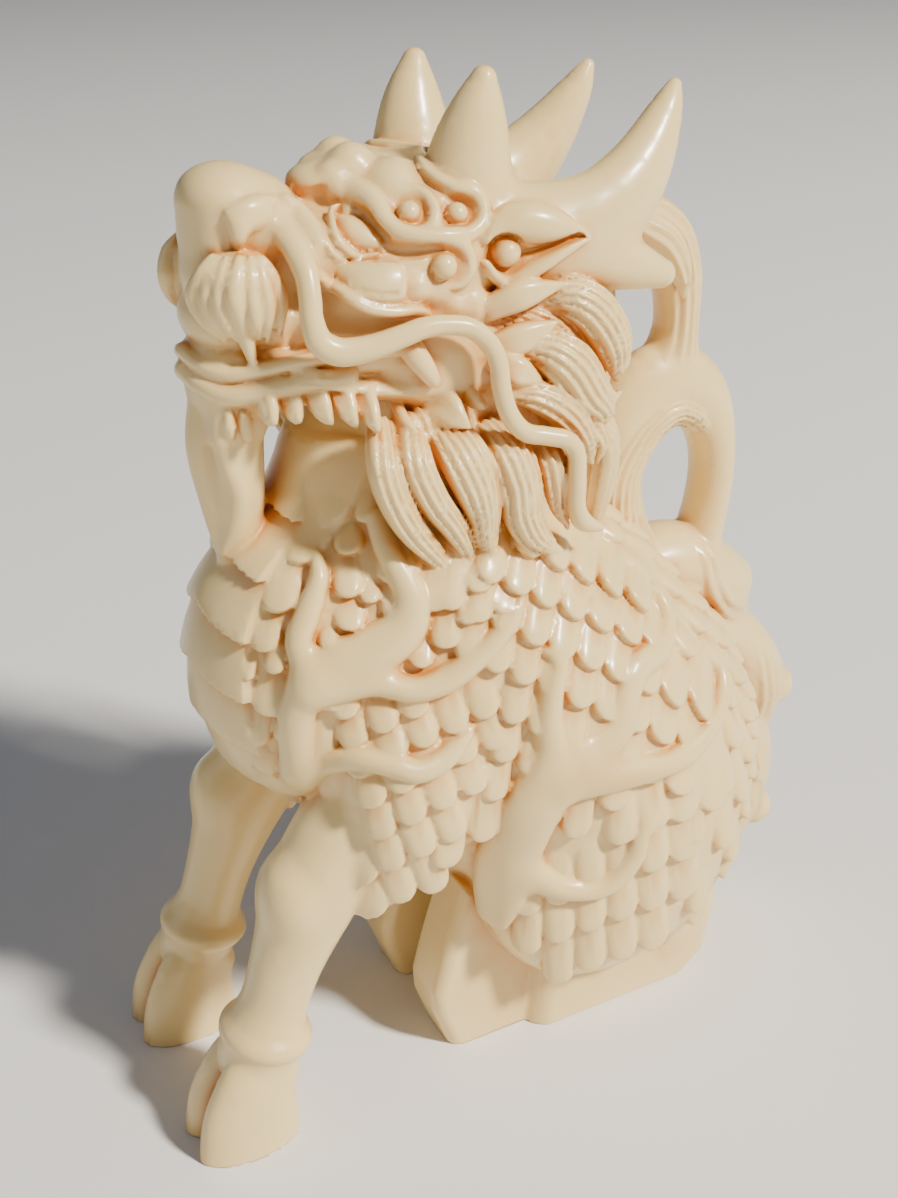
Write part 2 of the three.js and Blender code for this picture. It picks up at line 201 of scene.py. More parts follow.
def egg(carving, centre, radii, soft=0.5, lean=0.0, turn=0.0, cut=False):
    """An egg with three radii, leaned about X and then turned about Z, in degrees."""
    centre, radii = np.array(centre, float), np.array(radii, float)
    lean, turn = math.radians(lean), math.radians(turn)
    axes = np.array([
        [math.cos(turn), math.sin(turn), 0],
        [-math.sin(turn) * math.cos(lean), math.cos(turn) * math.cos(lean), math.sin(lean)],
        [math.sin(turn) * math.sin(lean), -math.cos(turn) * math.sin(lean), math.cos(lean)],
    ])
    margin = radii.max() + SKIN_MARGIN + soft
    first, last = carving.room(centre - margin, centre + margin)
    if (last <= first).any():
        return
    spots = carving.spots(first, last)
    form = None
    for side in [1, -1] if 0 < centre[0] < margin else [1]:
        mirror = np.array([side, 1, 1])
        gone = [spot - value for spot, value in zip(spots, centre * mirror)]
        parts = [sum(g * np.float32(v) for g, v in zip(gone, axis * mirror)) for axis in axes]
        near = np.sqrt(sum((p / r) ** 2 for p, r in zip(parts, radii)) + TINY)
        steep = np.sqrt(sum((p / r ** 2) ** 2 for p, r in zip(parts, radii)) + TINY)
        distance = near * (near - 1) / steep
        form = distance if form is None else np.minimum(form, distance)
    carving.join(first, form, soft, cut)


casting = Carving()
BODY_SETBACK = 0.45
TRUNK = [
    [0, 48, 11, 8.5, 4.5], [0, 45, 15, 12.5, 8], [0, 39, 22.6, 18.8, 12.5], [0, 29.5, 35, 24, 21.5],
    [0, 18.5, 48, 24, 23], [0, 10, 60, 21.5, 20.5], [0, 6, 70, 16.5, 17], [0, 5.5, 80, 12, 13], [0, 7, 93, 10.5, 12],
]
ELBOW = [[12, 4, 60, 12, 6], [14, 0, 48, 11.5, 7], [13, -5, 38, 6.5, 5.5], [12, -8, 30.5, 1.5, 3]]
BREAST = ([0, -2.8, 59.5], [16.2, 18.8, 20.2])
HAUNCH = ([13, 26.7, 27.7], [8.5, 19.4, 20])
THROAT = ([0, -4.5, 80], [7, 6, 8.6])
strand(casting, TRUNK, soft=2, pitch=4)
egg(casting, *BREAST, soft=3)
egg(casting, *HAUNCH, soft=3)
strand(casting, ELBOW, soft=2.5, pitch=2)
egg(casting, *THROAT, soft=3)
casting.field += BODY_SETBACK

# Scales like finger nails cover the flanks, each one lapping over the row below it. They were cut row by
# row along lines that fall towards the rump. From here on, fine carving is marked on a picture of 898 by
# 1198 points, in which the carver looks at the figure from its left and a little above.
PICTURE = np.array([898, 1198])
VIEWPOINT = np.array([135.33, -62.06, 141.82])
HEADING = math.radians(61.98)
PITCH = math.radians(27.81)
FOCAL_PIXELS = 1450
NEAREST, FARTHEST = 95, 260
LEVEL = 1e-9
SIGHT = np.array([-math.sin(HEADING) * math.cos(PITCH), math.cos(HEADING) * math.cos(PITCH), -math.sin(PITCH)])
RIGHT = np.array([math.cos(HEADING), math.sin(HEADING), 0])
UPWARD = np.cross(RIGHT, SIGHT)


def rays(marks):
    offsets = (np.array(marks, float) - PICTURE / 2) / FOCAL_PIXELS
    return unit(SIGHT + offsets[:, :1] * RIGHT - offsets[:, 1:2] * UPWARD)


def touch(carving, marks):
    """Where the lens sees the surface at some marks of the picture."""
    ways = rays(marks)
    return carving.reach(np.broadcast_to(VIEWPOINT, ways.shape), ways, NEAREST, FARTHEST)


SHEET_HALF = 0.6
SHEET_CORNER = 0.35
SCALE_DOME = 0.9
TIP_DROOP = 0.3
SCALE_RISE = 1.6


def scale(carving, at, out, tip, width, length):
    """One scale. Its upper end is sunk, and its rounded TIP stands proud of the skin."""
    reach = length / 2 + width / 2 + SKIN_MARGIN
    first, last = carving.room(at - reach, at + reach)
    if (last <= first).any():
        return
    gone = [spot - value for spot, value in zip(carving.spots(first, last), at)]
    side = np.cross(out, tip)
    a = sum(g * np.float32(v) for g, v in zip(gone, side))
    b = sum(g * np.float32(v) for g, v in zip(gone, tip))
    h = sum(g * np.float32(v) for g, v in zip(gone, out))
    half = width / 2
    outline = np.hypot(a, b - np.clip(b, -length / 2, length / 2 - half)) - half
    end = np.clip((b - length / 2) / half + 1, 0, 1)
    middle = SCALE_RISE * (b / length + 0.5) - SHEET_HALF - SCALE_DOME * np.abs(a / half) ** 3 - TIP_DROOP * end ** 2
    sheet = np.abs(h - middle) - SHEET_HALF
    corner = SHEET_CORNER
    form = (np.hypot(np.maximum(outline + corner, 0), np.maximum(sheet + corner, 0))
            + np.minimum(np.maximum(outline, sheet) + corner, 0) - corner)
    carving.join(first, form.astype(np.float32), 0.08)


def inside(marks, fence):
    """Which marks lie inside a fence of picture points."""
    marks, fence = np.array(marks, float), np.array(fence, float)
    x, y = marks[:, 0], marks[:, 1]
    hit = np.zeros(len(marks), bool)
    for (x1, y1), (x2, y2) in zip(fence, np.roll(fence, 1, axis=0)):
        crossing = (y1 > y) != (y2 > y)
        hit ^= crossing & (x < (x2 - x1) * (y - y1) / (y2 - y1 + LEVEL) + x1)
    return hit


TURNED_AWAY = 0.45
LONGEST_ROW, WIDEST_COLUMN = 12, 8
SIDE_LAP, ROW_LAP = 1.1, 1.36


def lattice(carving, start, along, down, columns, rows, fence):
    """Scales on a slanting grid of picture points, as far as a fence and the turn of the skin let them go."""
    start, along, down = (np.array(v, float) for v in (start, along, down))
    marks = np.array([start + along * i + down * j for j in rows for i in columns])
    marks = marks[inside(marks, fence)]
    at = touch(carving, marks)
    left, right = touch(carving, marks - along / 2), touch(carving, marks + along / 2)
    above, below = touch(carving, marks - down / 2), touch(carving, marks + down / 2)
    good = ~np.isnan(at + left + right + above + below).any(axis=1)
    out = np.zeros_like(at)
    out[good] = carving.normals(at[good])
    made = []
    for k in np.flatnonzero(good):
        tip = below[k] - above[k]
        row = np.linalg.norm(tip)
        tip = unit(tip - out[k] * (tip @ out[k]))
        wide = right[k] - left[k]
        wide = np.linalg.norm(wide - tip * (wide @ tip))
        facing = out[k] @ unit(VIEWPOINT - at[k])
        if row <= LONGEST_ROW and wide <= WIDEST_COLUMN and facing >= TURNED_AWAY:
            made.append((at[k], out[k], tip, SIDE_LAP * wide, ROW_LAP * row))
    return made


FLANK_FENCE = [
    (440, 575), (480, 545), (560, 520), (640, 545), (700, 600), (750, 680), (772, 760), (730, 762), (690, 765),
    (640, 785), (560, 830), (540, 800), (500, 830), (440, 885), (425, 870), (460, 800), (490, 720), (498, 665),
    (450, 610),
]
HAUNCH_FENCE = [
    (560, 850), (640, 792), (700, 755), (760, 750), (776, 800), (765, 850), (735, 890), (700, 940), (640, 965),
    (560, 965), (520, 940), (520, 890),
]
SHOULDER_FENCE = [
    (320, 700), (350, 690), (420, 695), (470, 670), (494, 650), (503, 690), (490, 740), (465, 800), (440, 850),
    (400, 885), (372, 905), (345, 890), (335, 830), (320, 770),
]
# Each grid: a first scale, the steps along a row and down a column, the columns and rows, and the fence.
SCALE_GRIDS = [
    ((519, 569), (27.5, 12), (-10, 38), range(-10, 14), range(-4, 12), FLANK_FENCE),
    ((589, 824), (31, -11), (0, 38), range(-4, 8), range(-3, 5), HAUNCH_FENCE),
    ((378, 815), (30, -15), (9, 30), range(-6, 9), range(-8, 6), SHOULDER_FENCE),
]
scales = []
for grid in SCALE_GRIDS:
    scales += lattice(casting, *grid)

# Larger scales beside the breast plates, each at its mark, with its width and length in the picture.
BREAST_SCALES = [
    (329, 505, 30, 40), (302, 549, 37, 32), (281, 589, 47, 44), (267, 630, 38, 38), (252, 664, 17, 24),
    (277, 655, 30, 30), (271, 693, 50, 34), (262, 722, 28, 30), (284, 722, 24, 24), (268, 750, 36, 30),
    (292, 770, 40, 34), (349, 537, 35, 34), (348, 577, 35, 38), (370, 592, 28, 20), (350, 616, 38, 26),
    (329, 637, 26, 18), (410, 560, 26, 30), (434, 586, 44, 42), (467, 606, 30, 30), (445, 625, 37, 38),
    (421, 653, 34, 24), (477, 577, 36, 26), (501, 599, 34, 24), (330, 690, 30, 30), (395, 600, 36, 30),
    (334, 494, 40, 44), (366, 502, 26, 36), (392, 566, 34, 30), (420, 590, 30, 26),
]
STEP_DOWN = 3
LONGEST_SLANT = 1.6
BREAST_LAP = 1.15
marks = np.array(BREAST_SCALES, float)
at = touch(casting, marks[:, :2])
below = touch(casting, marks[:, :2] + [0, STEP_DOWN])
out = casting.normals(at)
for k, (_, _, wide, tall) in enumerate(BREAST_SCALES):
    pixel = np.linalg.norm(at[k] - VIEWPOINT) / FOCAL_PIXELS
    tip = below[k] - at[k]
    slant = min(np.linalg.norm(tip) / (STEP_DOWN * pixel), LONGEST_SLANT)
    tip = unit(tip - out[k] * (tip @ out[k]))
    scales.append((at[k], out[k], tip, wide * pixel, BREAST_LAP * tall * pixel * slant))

# The back, which this view hides, has rows of the same scales straight across.
REAR_ROW, REAR_COLUMN = 4.6, 3.9
REAR_ROWS, REAR_COLUMNS = 14, 6
REAR_FOOT, BEHIND = 12, 80
REAR_SIDE_LAP, REAR_ROW_LAP = 1.1, 1.4
OVERLAP = 0.04
spots = np.array([
    [REAR_COLUMN * (column + 0.5 * (row % 2)), BEHIND, REAR_FOOT + REAR_ROW * row]
    for row in range(REAR_ROWS) for column in range(1, REAR_COLUMNS + 1)
])
at = casting.reach(spots, np.broadcast_to([0.0, -1, 0], spots.shape), 5, 70)
good = ~np.isnan(at).any(axis=1)
at = at[good]
out = casting.normals(at)
hidden = (out * unit(VIEWPOINT - at)).sum(axis=1) < TURNED_AWAY + OVERLAP
for place, normal in zip(at[hidden], out[hidden]):
    tip = np.array([0, 0, -1]) + normal * normal[2]
    scales.append((place, normal, unit(tip), REAR_COLUMN * REAR_SIDE_LAP, REAR_ROW * REAR_ROW_LAP))
blank = casting.copy()
for pad in sorted(scales, key=lambda pad: pad[0][2]):
    scale(casting, *pad)

# Smooth plates cross the breast from side to side. Each one swells down to an edge that laps over the next.
PLATE_EDGES = [84, 79, 74, 68.2, 61.8, 55, 48.2, 42, 36.5]
PLATE_HALF_WIDTHS = [5, 5.4, 7, 8.4, 9.3, 9.6, 9.4, 8.6, 7.6]
PLATE_SWELL = 1.7
PLATE_THIN_PART = 0.4
PLATE_TILT = 0.22
PLATE_CORNER = 1.6
PLATE_BACK = -3
first, last = casting.room([0, -30, 34], [13, 2, 86])
x, y, z = casting.spots(first, last)
where = tuple(slice(a, b) for a, b in zip(first, last))
tilted = z + PLATE_TILT * x
for upper, lower, half in zip(PLATE_EDGES, PLATE_EDGES[1:], PLATE_HALF_WIDTHS[1:]):
    fall = np.clip((upper - tilted) / (upper - lower), 0, 1)
    thick = PLATE_SWELL * (PLATE_THIN_PART + (1 - PLATE_THIN_PART) * fall)
    end = x - half + PLATE_CORNER * (1 - fall)
    form = np.maximum(np.maximum(blank.field[where] - thick, lower - tilted), np.maximum(end, y - PLATE_BACK))
    casting.join(first, form.astype(np.float32), 0.15)

# Smooth tendrils lie over the scales of the shoulder and the haunch. They fork from one stem, with webs
# between the forks, and they are half sunk in the skin. A mark is across, down, half width, half depth.
SHOULDER_STEM = [
    (304, 782, 2, 1.2), (302, 774, 2.2, 1.4), (299, 759, 2.1, 1.7), (296, 722, 2, 1.6), (304, 695, 2.1, 1.7),
    (316, 680, 2.2, 1.6),
]
SHOULDER_FORKS = [
    [(312, 686, 1.8, 1.4), (305, 662, 1.6, 1.4), (300, 638, 1.5, 1.4), (309, 611, 1.4, 1.3), (319, 582, 1.1, 1.2),
     (318, 562, 0.8, 1), (315, 551, 0.4, 0.6)],
    [(314, 684, 2, 1.4), (338, 664, 2.5, 1.6), (376, 648, 2.7, 1.9), (402, 629, 2.5, 2), (411, 602, 2, 1.8),
     (401, 574, 1.6, 1.6), (385, 544, 1.3, 1.4), (377, 519, 1.1, 1.2)],
    [(314, 686, 1.8, 1.4), (340, 686, 1.6, 1.6), (376, 681, 1.5, 1.8), (412, 687, 1.5, 1.9), (444, 678, 1.6, 1.9),
     (471, 659, 1.5, 1.7), (495, 637, 1.3, 1.4), (513, 611, 0.9, 1), (520, 594, 0.4, 0.5)],
    [(300, 768, 2, 1.4), (325, 759, 1.6, 1.5), (359, 756, 1.4, 1.7), (393, 763, 1.4, 1.8), (418, 768, 1.5, 1.8),
     (442, 757, 1.4, 1.5), (461, 737, 1, 1.1), (470, 725, 0.4, 0.5)],
]
HAUNCH_STEM = [
    (494, 915, 2.4, 1), (500, 890, 3.4, 1.6), (509, 850, 3.8, 2.2), (528, 808, 3.9, 2.2), (552, 772, 3.6, 2),
    (575, 755, 3, 1.6),
]
HAUNCH_FORKS = [
    [(549, 770, 2.4, 1.6), (549, 745, 1.9, 1.6), (547, 719, 1.6, 1.6), (550, 689, 1.4, 1.5), (556, 664, 1.2, 1.3),
     (551, 652, 0.9, 1), (542, 650, 0.4, 0.5)],
    [(560, 775, 3, 1.4), (590, 752, 2.6, 1.4), (616, 724, 2.3, 1.5), (624, 689, 2, 1.6), (634, 666, 1.9, 1.6),
     (654, 651, 1.6, 1.6), (662, 622, 1.2, 1.4), (655, 598, 0.8, 1), (642, 584, 0.3, 0.4)],
    [(560, 778, 3, 1.2), (600, 775, 2.4, 1.6), (628, 770, 2, 1.7), (655, 763, 1.8, 1.7), (681, 753, 1.7, 1.6),
     (699, 734, 1.5, 1.5), (713, 711, 1.3, 1.4), (718, 684, 1.1, 1.2), (713, 659, 0.8, 0.9), (708, 643, 0.3, 0.4)],
    [(512, 862, 3, 1.4), (534, 872, 2.2, 1.7), (560, 883, 1.7, 1.8), (590, 884, 1.6, 1.8), (612, 874, 1.7, 1.8),
     (630, 853, 1.6, 1.6), (638, 830, 1.3, 1.4), (651, 817, 1, 1.1), (667, 814, 0.4, 0.5)],
]
TENDRIL_LIFT = 0.35
TENDRIL_SPAN = 1.2
WEB = 1.6
tendrils = Carving()
for fork in [SHOULDER_STEM, *SHOULDER_FORKS, HAUNCH_STEM, *HAUNCH_FORKS]:
    marks = np.array(fork, float)
    at = touch(blank, marks[:, :2])
    good = ~np.isnan(at).any(axis=1)
    out = blank.normals(at[good], TENDRIL_SPAN)
    strand(tendrils, np.hstack([at[good] + TENDRIL_LIFT * out, marks[good, 2:]]), facing=out, soft=WEB)
casting.join([0, 0, 0], tendrils.field, 0.2)

# The fore legs are smooth, with a bony knee and a ring above the hoof, which is split in two toes. They
# stand apart, and the far one mirrors the near one.
LEG_X = 11
FORE_LEG = [
    [LEG_X, -3, 47, 7.5, 6], [LEG_X, -9.5, 40, 6.6, 5.6], [LEG_X, -14, 33.5, 5.7, 5.4],
    [LEG_X, -17.3, 25.5, 4.4, 4.3], [LEG_X, -19.4, 19.5, 4.1], [LEG_X, -21.1, 15.2, 4.9], [LEG_X, -22, 12.6, 4.6],
]
strand(casting, FORE_LEG, soft=0.8)
KNEE = ([LEG_X + 0.4, -16.6, 34.6], [4.7, 3.8, 5.2])
RING = ([LEG_X, -20.7, 15.8], [5.8, 5.6, 2.8])
RING_LEAN = -14
TOE_SHIFT = 2.5
egg(casting, *KNEE, soft=1.6)
egg(casting, *RING, soft=0.5, lean=RING_LEAN)
for shift in (-TOE_SHIFT, TOE_SHIFT):
    toe = [
        [LEG_X + 0.75 * shift, -21.8, 12, 4.7, 2.8], [LEG_X + 0.9 * shift, -23.2, 9.4, 5.2, 2.9],
        [LEG_X + shift, -24.3, 5.4, 6, 3], [LEG_X + shift, -24.6, 0, 6.5, 3.1],
    ]
    strand(casting, toe, soft=0.25)

# The hind hooves are plain blocks with cut corners, and the feet lie flat behind them. A small bit of resin
# that ran out of the mould was left at the foot of each block.


def slab(carving, outline, centre, half, rounding, soft):
    """A side outline in Y and Z, HALF thick on each side of X = CENTRE, with rounded edges."""
    outline = np.array(outline, float)
    low = np.array([centre - half, *outline.min(axis=0)]) - 2
    high = np.array([centre + half, *outline.max(axis=0)]) + 2
    first, last = carving.room(low, high)
    x, y, z = carving.spots(first, last)
    edge = np.full((y.size, z.size), 1e9)
    y, z = y[0], z[0]
    flip = np.zeros((y.size, z.size), bool)
    for (y1, z1), (y2, z2) in zip(outline, np.roll(outline, -1, axis=0)):
        way = np.array([y2 - y1, z2 - z1])
        share = np.clip(((y - y1) * way[0] + (z - z1) * way[1]) / (way @ way), 0, 1)
        edge = np.minimum(edge, np.hypot(y - y1 - share * way[0], z - z1 - share * way[1]))
        flip ^= ((z1 > z) != (z2 > z)) & (y < (y2 - y1) * (z - z1) / (z2 - z1 + LEVEL) + y1)
    flat = np.where(flip, -edge, edge)[None] + rounding
    wall = np.abs(x - centre) - half + rounding
    form = np.hypot(np.maximum(flat, 0), np.maximum(wall, 0)) + np.minimum(np.maximum(flat, wall), 0) - rounding
    carving.join(first, form.astype(np.float32), soft)


HIND_HOOF = [
    (5.6, -1), (17, -1), (19, 4), (18.6, 12), (14, 26), (6.4, 26), (3.4, 16), (2, 10.4), (2.2, 7.4), (4.6, 0.4),
]
HIND_FOOT = [(15, -2), (38, -2), (44, 3), (45.5, 12), (41, 17), (17, 17)]
slab(casting, HIND_HOOF, centre=7.5, half=4, rounding=1.7, soft=0.8)
slab(casting, HIND_FOOT, centre=9, half=5, rounding=3.2, soft=0.8)
FLASH = ([12, 17.4, 1.6], [1.1, 1.5, 0.5])
egg(casting, *FLASH, soft=0.2)

# The spine carries knobs behind the tail, each at the end of a broad smooth swell. Raised lines run along the swells'
# edges, and only this side's are given, because the other side mirrors it.
SWELLS = [
    [[33, 59, 4.6, 5], [42, 58.6, 5.4, 5.6], [48.6, 54.6, 5.2, 5.4], [51, 50, 4]],
    [[47, 49, 5], [54, 43, 5, 4.8], [58, 37, 4.8, 4.6], [58.6, 32, 3.6]],
    [[53, 35, 5, 4.4], [57, 26, 5, 4.4], [57.2, 18, 4.8, 4], [54, 10.5, 4, 3.4]],
]
for swell in SWELLS:
    strand(casting, [[0, *station] for station in swell], soft=0.4)
KNOBS = [(51.6, 54.2, 4, 3.5), (61.6, 35, 3.6, 3.1), (60.8, 14, 3.2, 2.9)]
for y, z, wide, size in KNOBS:
    egg(casting, [0, y, z], [wide, size, size], soft=0.5)
SWELL_LINES = [
    [(694, 540, 0.4), (705, 560, 0.7), (711, 586, 0.8), (722, 609, 0.8), (738, 620, 0.4)],
    [(706, 545, 0.4), (715, 560, 0.6), (719, 580, 0.7), (729, 599, 0.7), (742, 608, 0.4)],
    [(757, 648, 0.4), (762, 673, 0.6), (764, 698, 0.6), (760, 716, 0.4)],
    [(765, 648, 0.4), (770, 668, 0.6), (772, 692, 0.6), (769, 714, 0.4)],
    [(773, 658, 0.4), (777, 674, 0.5), (778, 694, 0.5), (776, 710, 0.4)],
    [(751, 756, 0.4), (756, 778, 0.6), (753, 802, 0.6), (743, 828, 0.4)],
    [(758, 762, 0.4), (762, 784, 0.5), (760, 806, 0.5), (751, 830, 0.4)],
]
LINE_LIFT = -0.22


def ridge(skin, marks, lift=0.0, soft=0.4, cut=False):
    """A strand along marks of the picture, on some skin. A mark is across, down, half width, half depth."""
    marks = filled(marks, 4)
    at = touch(skin, marks[:, :2])
    good = ~np.isnan(at).any(axis=1)
    out = skin.normals(at[good], 0.8)
    strand(casting, np.hstack([at[good] + lift * out, marks[good, 2:]]), facing=out, soft=soft, cut=cut)


for line in SWELL_LINES:
    ridge(casting, line, LINE_LIFT, 0.25)

# The tail's stem rises from the back, arches forward and comes down to it again, grooved like hair along its
# inner side. A plume rises from the arch and curls over behind the horns.
TAIL_STEM = [
    [0, 43, 54, 4, 4.4], [0, 46.6, 62, 2.7, 3.6], [0, 47.6, 72, 2.6, 3.4], [0, 45, 80, 3.8, 3.6],
    [0, 39.4, 83.6, 5, 3.8], [0, 34, 80, 4.6, 3.8], [0, 31.6, 73, 4],
]
HAIR_GROOVE = 0.45
TAIL_HAIR = [
    [0, 44.6, 76, 0.6, 2.6], [0, 43.4, 78.6, 2, 3.7], [0, 39.4, 80.8, 3, 4.3], [0, 34.8, 78.6, 3.8, 4.5],
    [0, 31.6, 73, 4.3, 4.7], [0, 32.2, 65.4, 5.2, 4.9], [0, 35, 58, 6.5, 5],
]
PLUME = [
    [0, 39.6, 84, 4.6, 3.4], [0, 40.4, 90, 2.7, 3], [0, 39.8, 96.6, 3.2], [0, 37, 102, 3.6], [0, 31.6, 104.8, 3],
    [0, 26, 103.6, 2, 2.4],
]
PLUME_TIP = [[2, 31, 104.4, 1.6, 2], [3.4, 35.4, 101.6, 2], [3.8, 37.8, 97.6, 1.4], [3.8, 38.4, 94.8, 0.3]]
strand(casting, TAIL_STEM, soft=0.6, pitch=1.5)
strand(casting, TAIL_HAIR, soft=0.25, ridges=9, groove=HAIR_GROOVE, pitch=1.2)
strand(casting, PLUME, soft=0.5, ridges=5, groove=0.4)
strand(casting, PLUME_TIP, soft=0.2, ridges=4, groove=0.4, around=True)

# The head's large forms: skull, bridge and swollen nose, upper lip, gum and jaw, and the goatee that joins the
# chin to the breast.


def seen(stations):
    """Stations given as across and down in the picture, x in millimetres, and girths, as stations in space."""
    stations = filled(stations, 5)
    ways = rays(stations[:, :2])
    gone = (stations[:, 2] - VIEWPOINT[0]) / ways[:, 0]
    return np.hstack([VIEWPOINT + gone[:, None] * ways, stations[:, 3:]])


SKULL = ([0, 4.5, 104], [12.4, 12, 9.6])
egg(casting, *SKULL, soft=1)
BRIDGE = [[0, 6, 104, 8, 10.5], [0, -3, 105, 6.2, 8.8], [0, -9, 104.4, 5.2, 6.6], [0, -15, 104, 4.6, 5.2]]
UPPER_LIP = [[0, 6, 99.5, 5.5, 12.4], [0, -3, 99.8, 4.6, 11.2], [0, -12, 99.8, 4.2, 7.6], [0, -16.4, 99.6, 3.6, 5.2]]
GUM = [[0, 8, 95.6, 4, 12.4], [0, -2, 95.6, 3, 11.2], [0, -11, 95.4, 3, 8.1], [0, -16.6, 95, 3.4, 5]]
JAW = [[0, 8, 92.6, 3.4, 12.8], [0, -2, 92.6, 2.4, 11.6], [0, -11, 92.6, 2.6, 8.4], [0, -16.8, 92, 3.1, 5]]
strand(casting, BRIDGE, soft=1.2, pitch=2)
strand(casting, UPPER_LIP, soft=0.8, pitch=2)
strand(casting, GUM, soft=0.4, pitch=2)
strand(casting, JAW, soft=0.4, pitch=2)
NOSE = [
    ([0, -14.4, 109.6], [5.3, 4.9, 4.6]), ([0, -15.6, 111], [4.8, 3.5, 2.9]), ([0, -16.2, 107.3], [4.7, 3.1, 3.2]),
    ([0, -11.6, 109.4], [5, 4, 3.6]), ([3, -11, 107.8], [3.4, 4, 3.4]), ([4.4, -8, 105.6], [3.4, 3.6, 2.8]),
    ([6.4, -7.6, 106], [2.8, 3.8, 3]),
]
for swelling in NOSE:
    egg(casting, *swelling, soft=1)
GOATEE = [
    [0, -15.6, 92, 3.4, 4.4], [0, -15.8, 86, 3.3, 4.3], [0, -15.8, 80, 3.1, 3.6], [0, -16, 74.5, 2.4, 2.6],
    [0, -16.2, 70, 1.2, 1.4],
]
GOATEE_FRONT = [
    [0, -17.8, 91.6, 2, 2.2], [0, -18.5, 86, 2.1], [0, -17.7, 80, 2], [0, -16.9, 74.4, 1.6], [0, -16.6, 70.6, 0.8],
]
strand(casting, GOATEE, soft=0.6)
strand(casting, GOATEE_FRONT, soft=0.25)
GOATEE_FOLD = [
    (222, 440, 2.9, 1.2), (231, 468, 3, 1.3), (240, 495, 2.9, 1.3), (236, 526, 2.2, 1.1), (223, 552, 1.4, 0.5),
]
strand(casting, seen(GOATEE_FOLD), soft=0.5)
CHIN = [(-19.2, 87.4), (-18, 86.8), (-13.6, 86.8), (-12.6, 88.4), (-12.4, 92), (-19, 93)]
slab(casting, CHIN, centre=0, half=4.7, rounding=1.8, soft=0.7)
BROW_LUMP = ([0, -5.4, 111.3], [3.6, 2.5, 1.9], 0.5)
FOREHEAD = ([0, -1.4, 111.7], [4.2, 4.4, 2.8], 0.8)
CHEEK = ([9.2, -1.8, 102.4], [2.8, 5, 3], 1.2)
JOWL = ([9.4, 6, 94.6], [3.6, 9, 5.6], 1)
for lump in (BROW_LUMP, FOREHEAD, CHEEK, JOWL):
    egg(casting, *lump)

# Two smooth horns rise on each side of the head: a short upright one in front, and a long one that sweeps back
# and up, with a blunt lobe under it.
FRONT_HORN = [[5.5, 9, 107, 5.6, 5], [6, 8.9, 112.5, 4.5, 4], [6.8, 9.2, 117, 3.2, 2.8], [7.4, 9.8, 121, 1.3]]
BACK_HORN = [
    [6.5, 8, 106, 6, 4.5], [8.6, 15.5, 105.4, 5.6, 4.2], [9.8, 21.8, 106.8, 5, 3.7], [9.6, 26.8, 111, 3.7, 2.9],
    [8.6, 30.4, 116.2, 2, 1.8], [8.2, 31.8, 119, 0.8],
]
HORN_LOBE = [[8.5, 14, 103.5, 4.5, 3], [11, 22, 103, 3.4, 3], [12.6, 28.4, 101, 1.6]]
strand(casting, FRONT_HORN, soft=1)
strand(casting, BACK_HORN, soft=1.2)
strand(casting, HORN_LOBE, soft=1.2)

# The face's fine details, each traced where the picture shows it: the lumps of the forehead, the brow with its
# three curls, the eye and its lids, the cheek, and the ear.


def ball(skin, u, v, radius, lift=0.0, soft=0.15, cut=False):
    at = touch(skin, [(u, v)])
    out = skin.normals(at, 0.8)[0]
    egg(casting, at[0] + lift * out, [radius, radius, radius], soft=soft, cut=cut)


face = casting.copy()
FOREHEAD_BALLS = [(389, 175, 3.4, -2, 0.9), (334, 176, 2, -1.1, 0.5), (351, 155, 2.4, -1.3, 0.6)]
for u, v, radius, lift, soft in FOREHEAD_BALLS:
    ball(face, u, v, radius, lift, soft)
FOREHEAD_NOTCH = [(308, 198, 0.8), (322, 200, 1.3, 1), (334, 210, 0.9)]
ridge(face, FOREHEAD_NOTCH, 0.3, 0.6, cut=True)
CURL_MIDDLES = [(457, 213), (409, 212), (444, 265)]
CURL_HOLLOW = (2.5, 1.7, 0.5)
for u, v in CURL_MIDDLES:
    ball(face, u, v, *CURL_HOLLOW, cut=True)
BROW = [
    (334, 191, 0.9, 0.8), (350, 191, 1.3, 1.1), (365, 197, 1.3), (377, 210, 1.2, 1.4), (387, 224, 1.1, 1.4),
    (400, 233, 1, 1.4), (420, 237, 0.95, 1.3), (442, 237, 0.95, 1.3), (458, 236, 0.9, 1.1),
]
ridge(face, BROW, soft=0.5)
UNDER_BROW = [(354, 206, 0.3, 0.7), (366, 214, 0.35, 0.8), (376, 227, 0.35, 0.8), (388, 239, 0.35, 0.8)]
ridge(face, UNDER_BROW, 0.5, 0.15, cut=True)
BROW_GAP = [(386, 248, 0.5, 0.8), (402, 251, 0.8, 1.2), (420, 251, 0.8, 1.2), (438, 249, 0.5, 0.8)]
ridge(face, BROW_GAP, 0.3, 0.2, cut=True)
CURLS = [
    [(420, 236, 0.8, 0.9), (432, 227, 0.8), (434, 212, 0.7, 0.75), (427, 197, 0.65), (414, 190, 0.6, 0.55),
     (400, 194, 0.4, 0.35)],
    [(455, 238, 0.8, 0.9), (472, 232, 0.85, 0.9), (482, 220, 0.8), (482, 204, 0.75, 0.7), (473, 191, 0.7, 0.6),
     (460, 187, 0.6, 0.5), (447, 192, 0.4, 0.3)],
    [(446, 238, 0.8, 0.9), (461, 245, 0.75, 0.8), (469, 257, 0.7, 0.75), (469, 271, 0.65, 0.7),
     (460, 283, 0.55, 0.6), (446, 287, 0.35, 0.4)],
]
for curl in CURLS:
    ridge(face, curl, soft=0.3)
CURL_BALLS = [(457, 213, 1.15, -0.15), (409, 212, 1.15, -0.15), (444, 266, 1.3, 0)]
for u, v, radius, lift in CURL_BALLS:
    ball(face, u, v, radius, lift, 0.1)
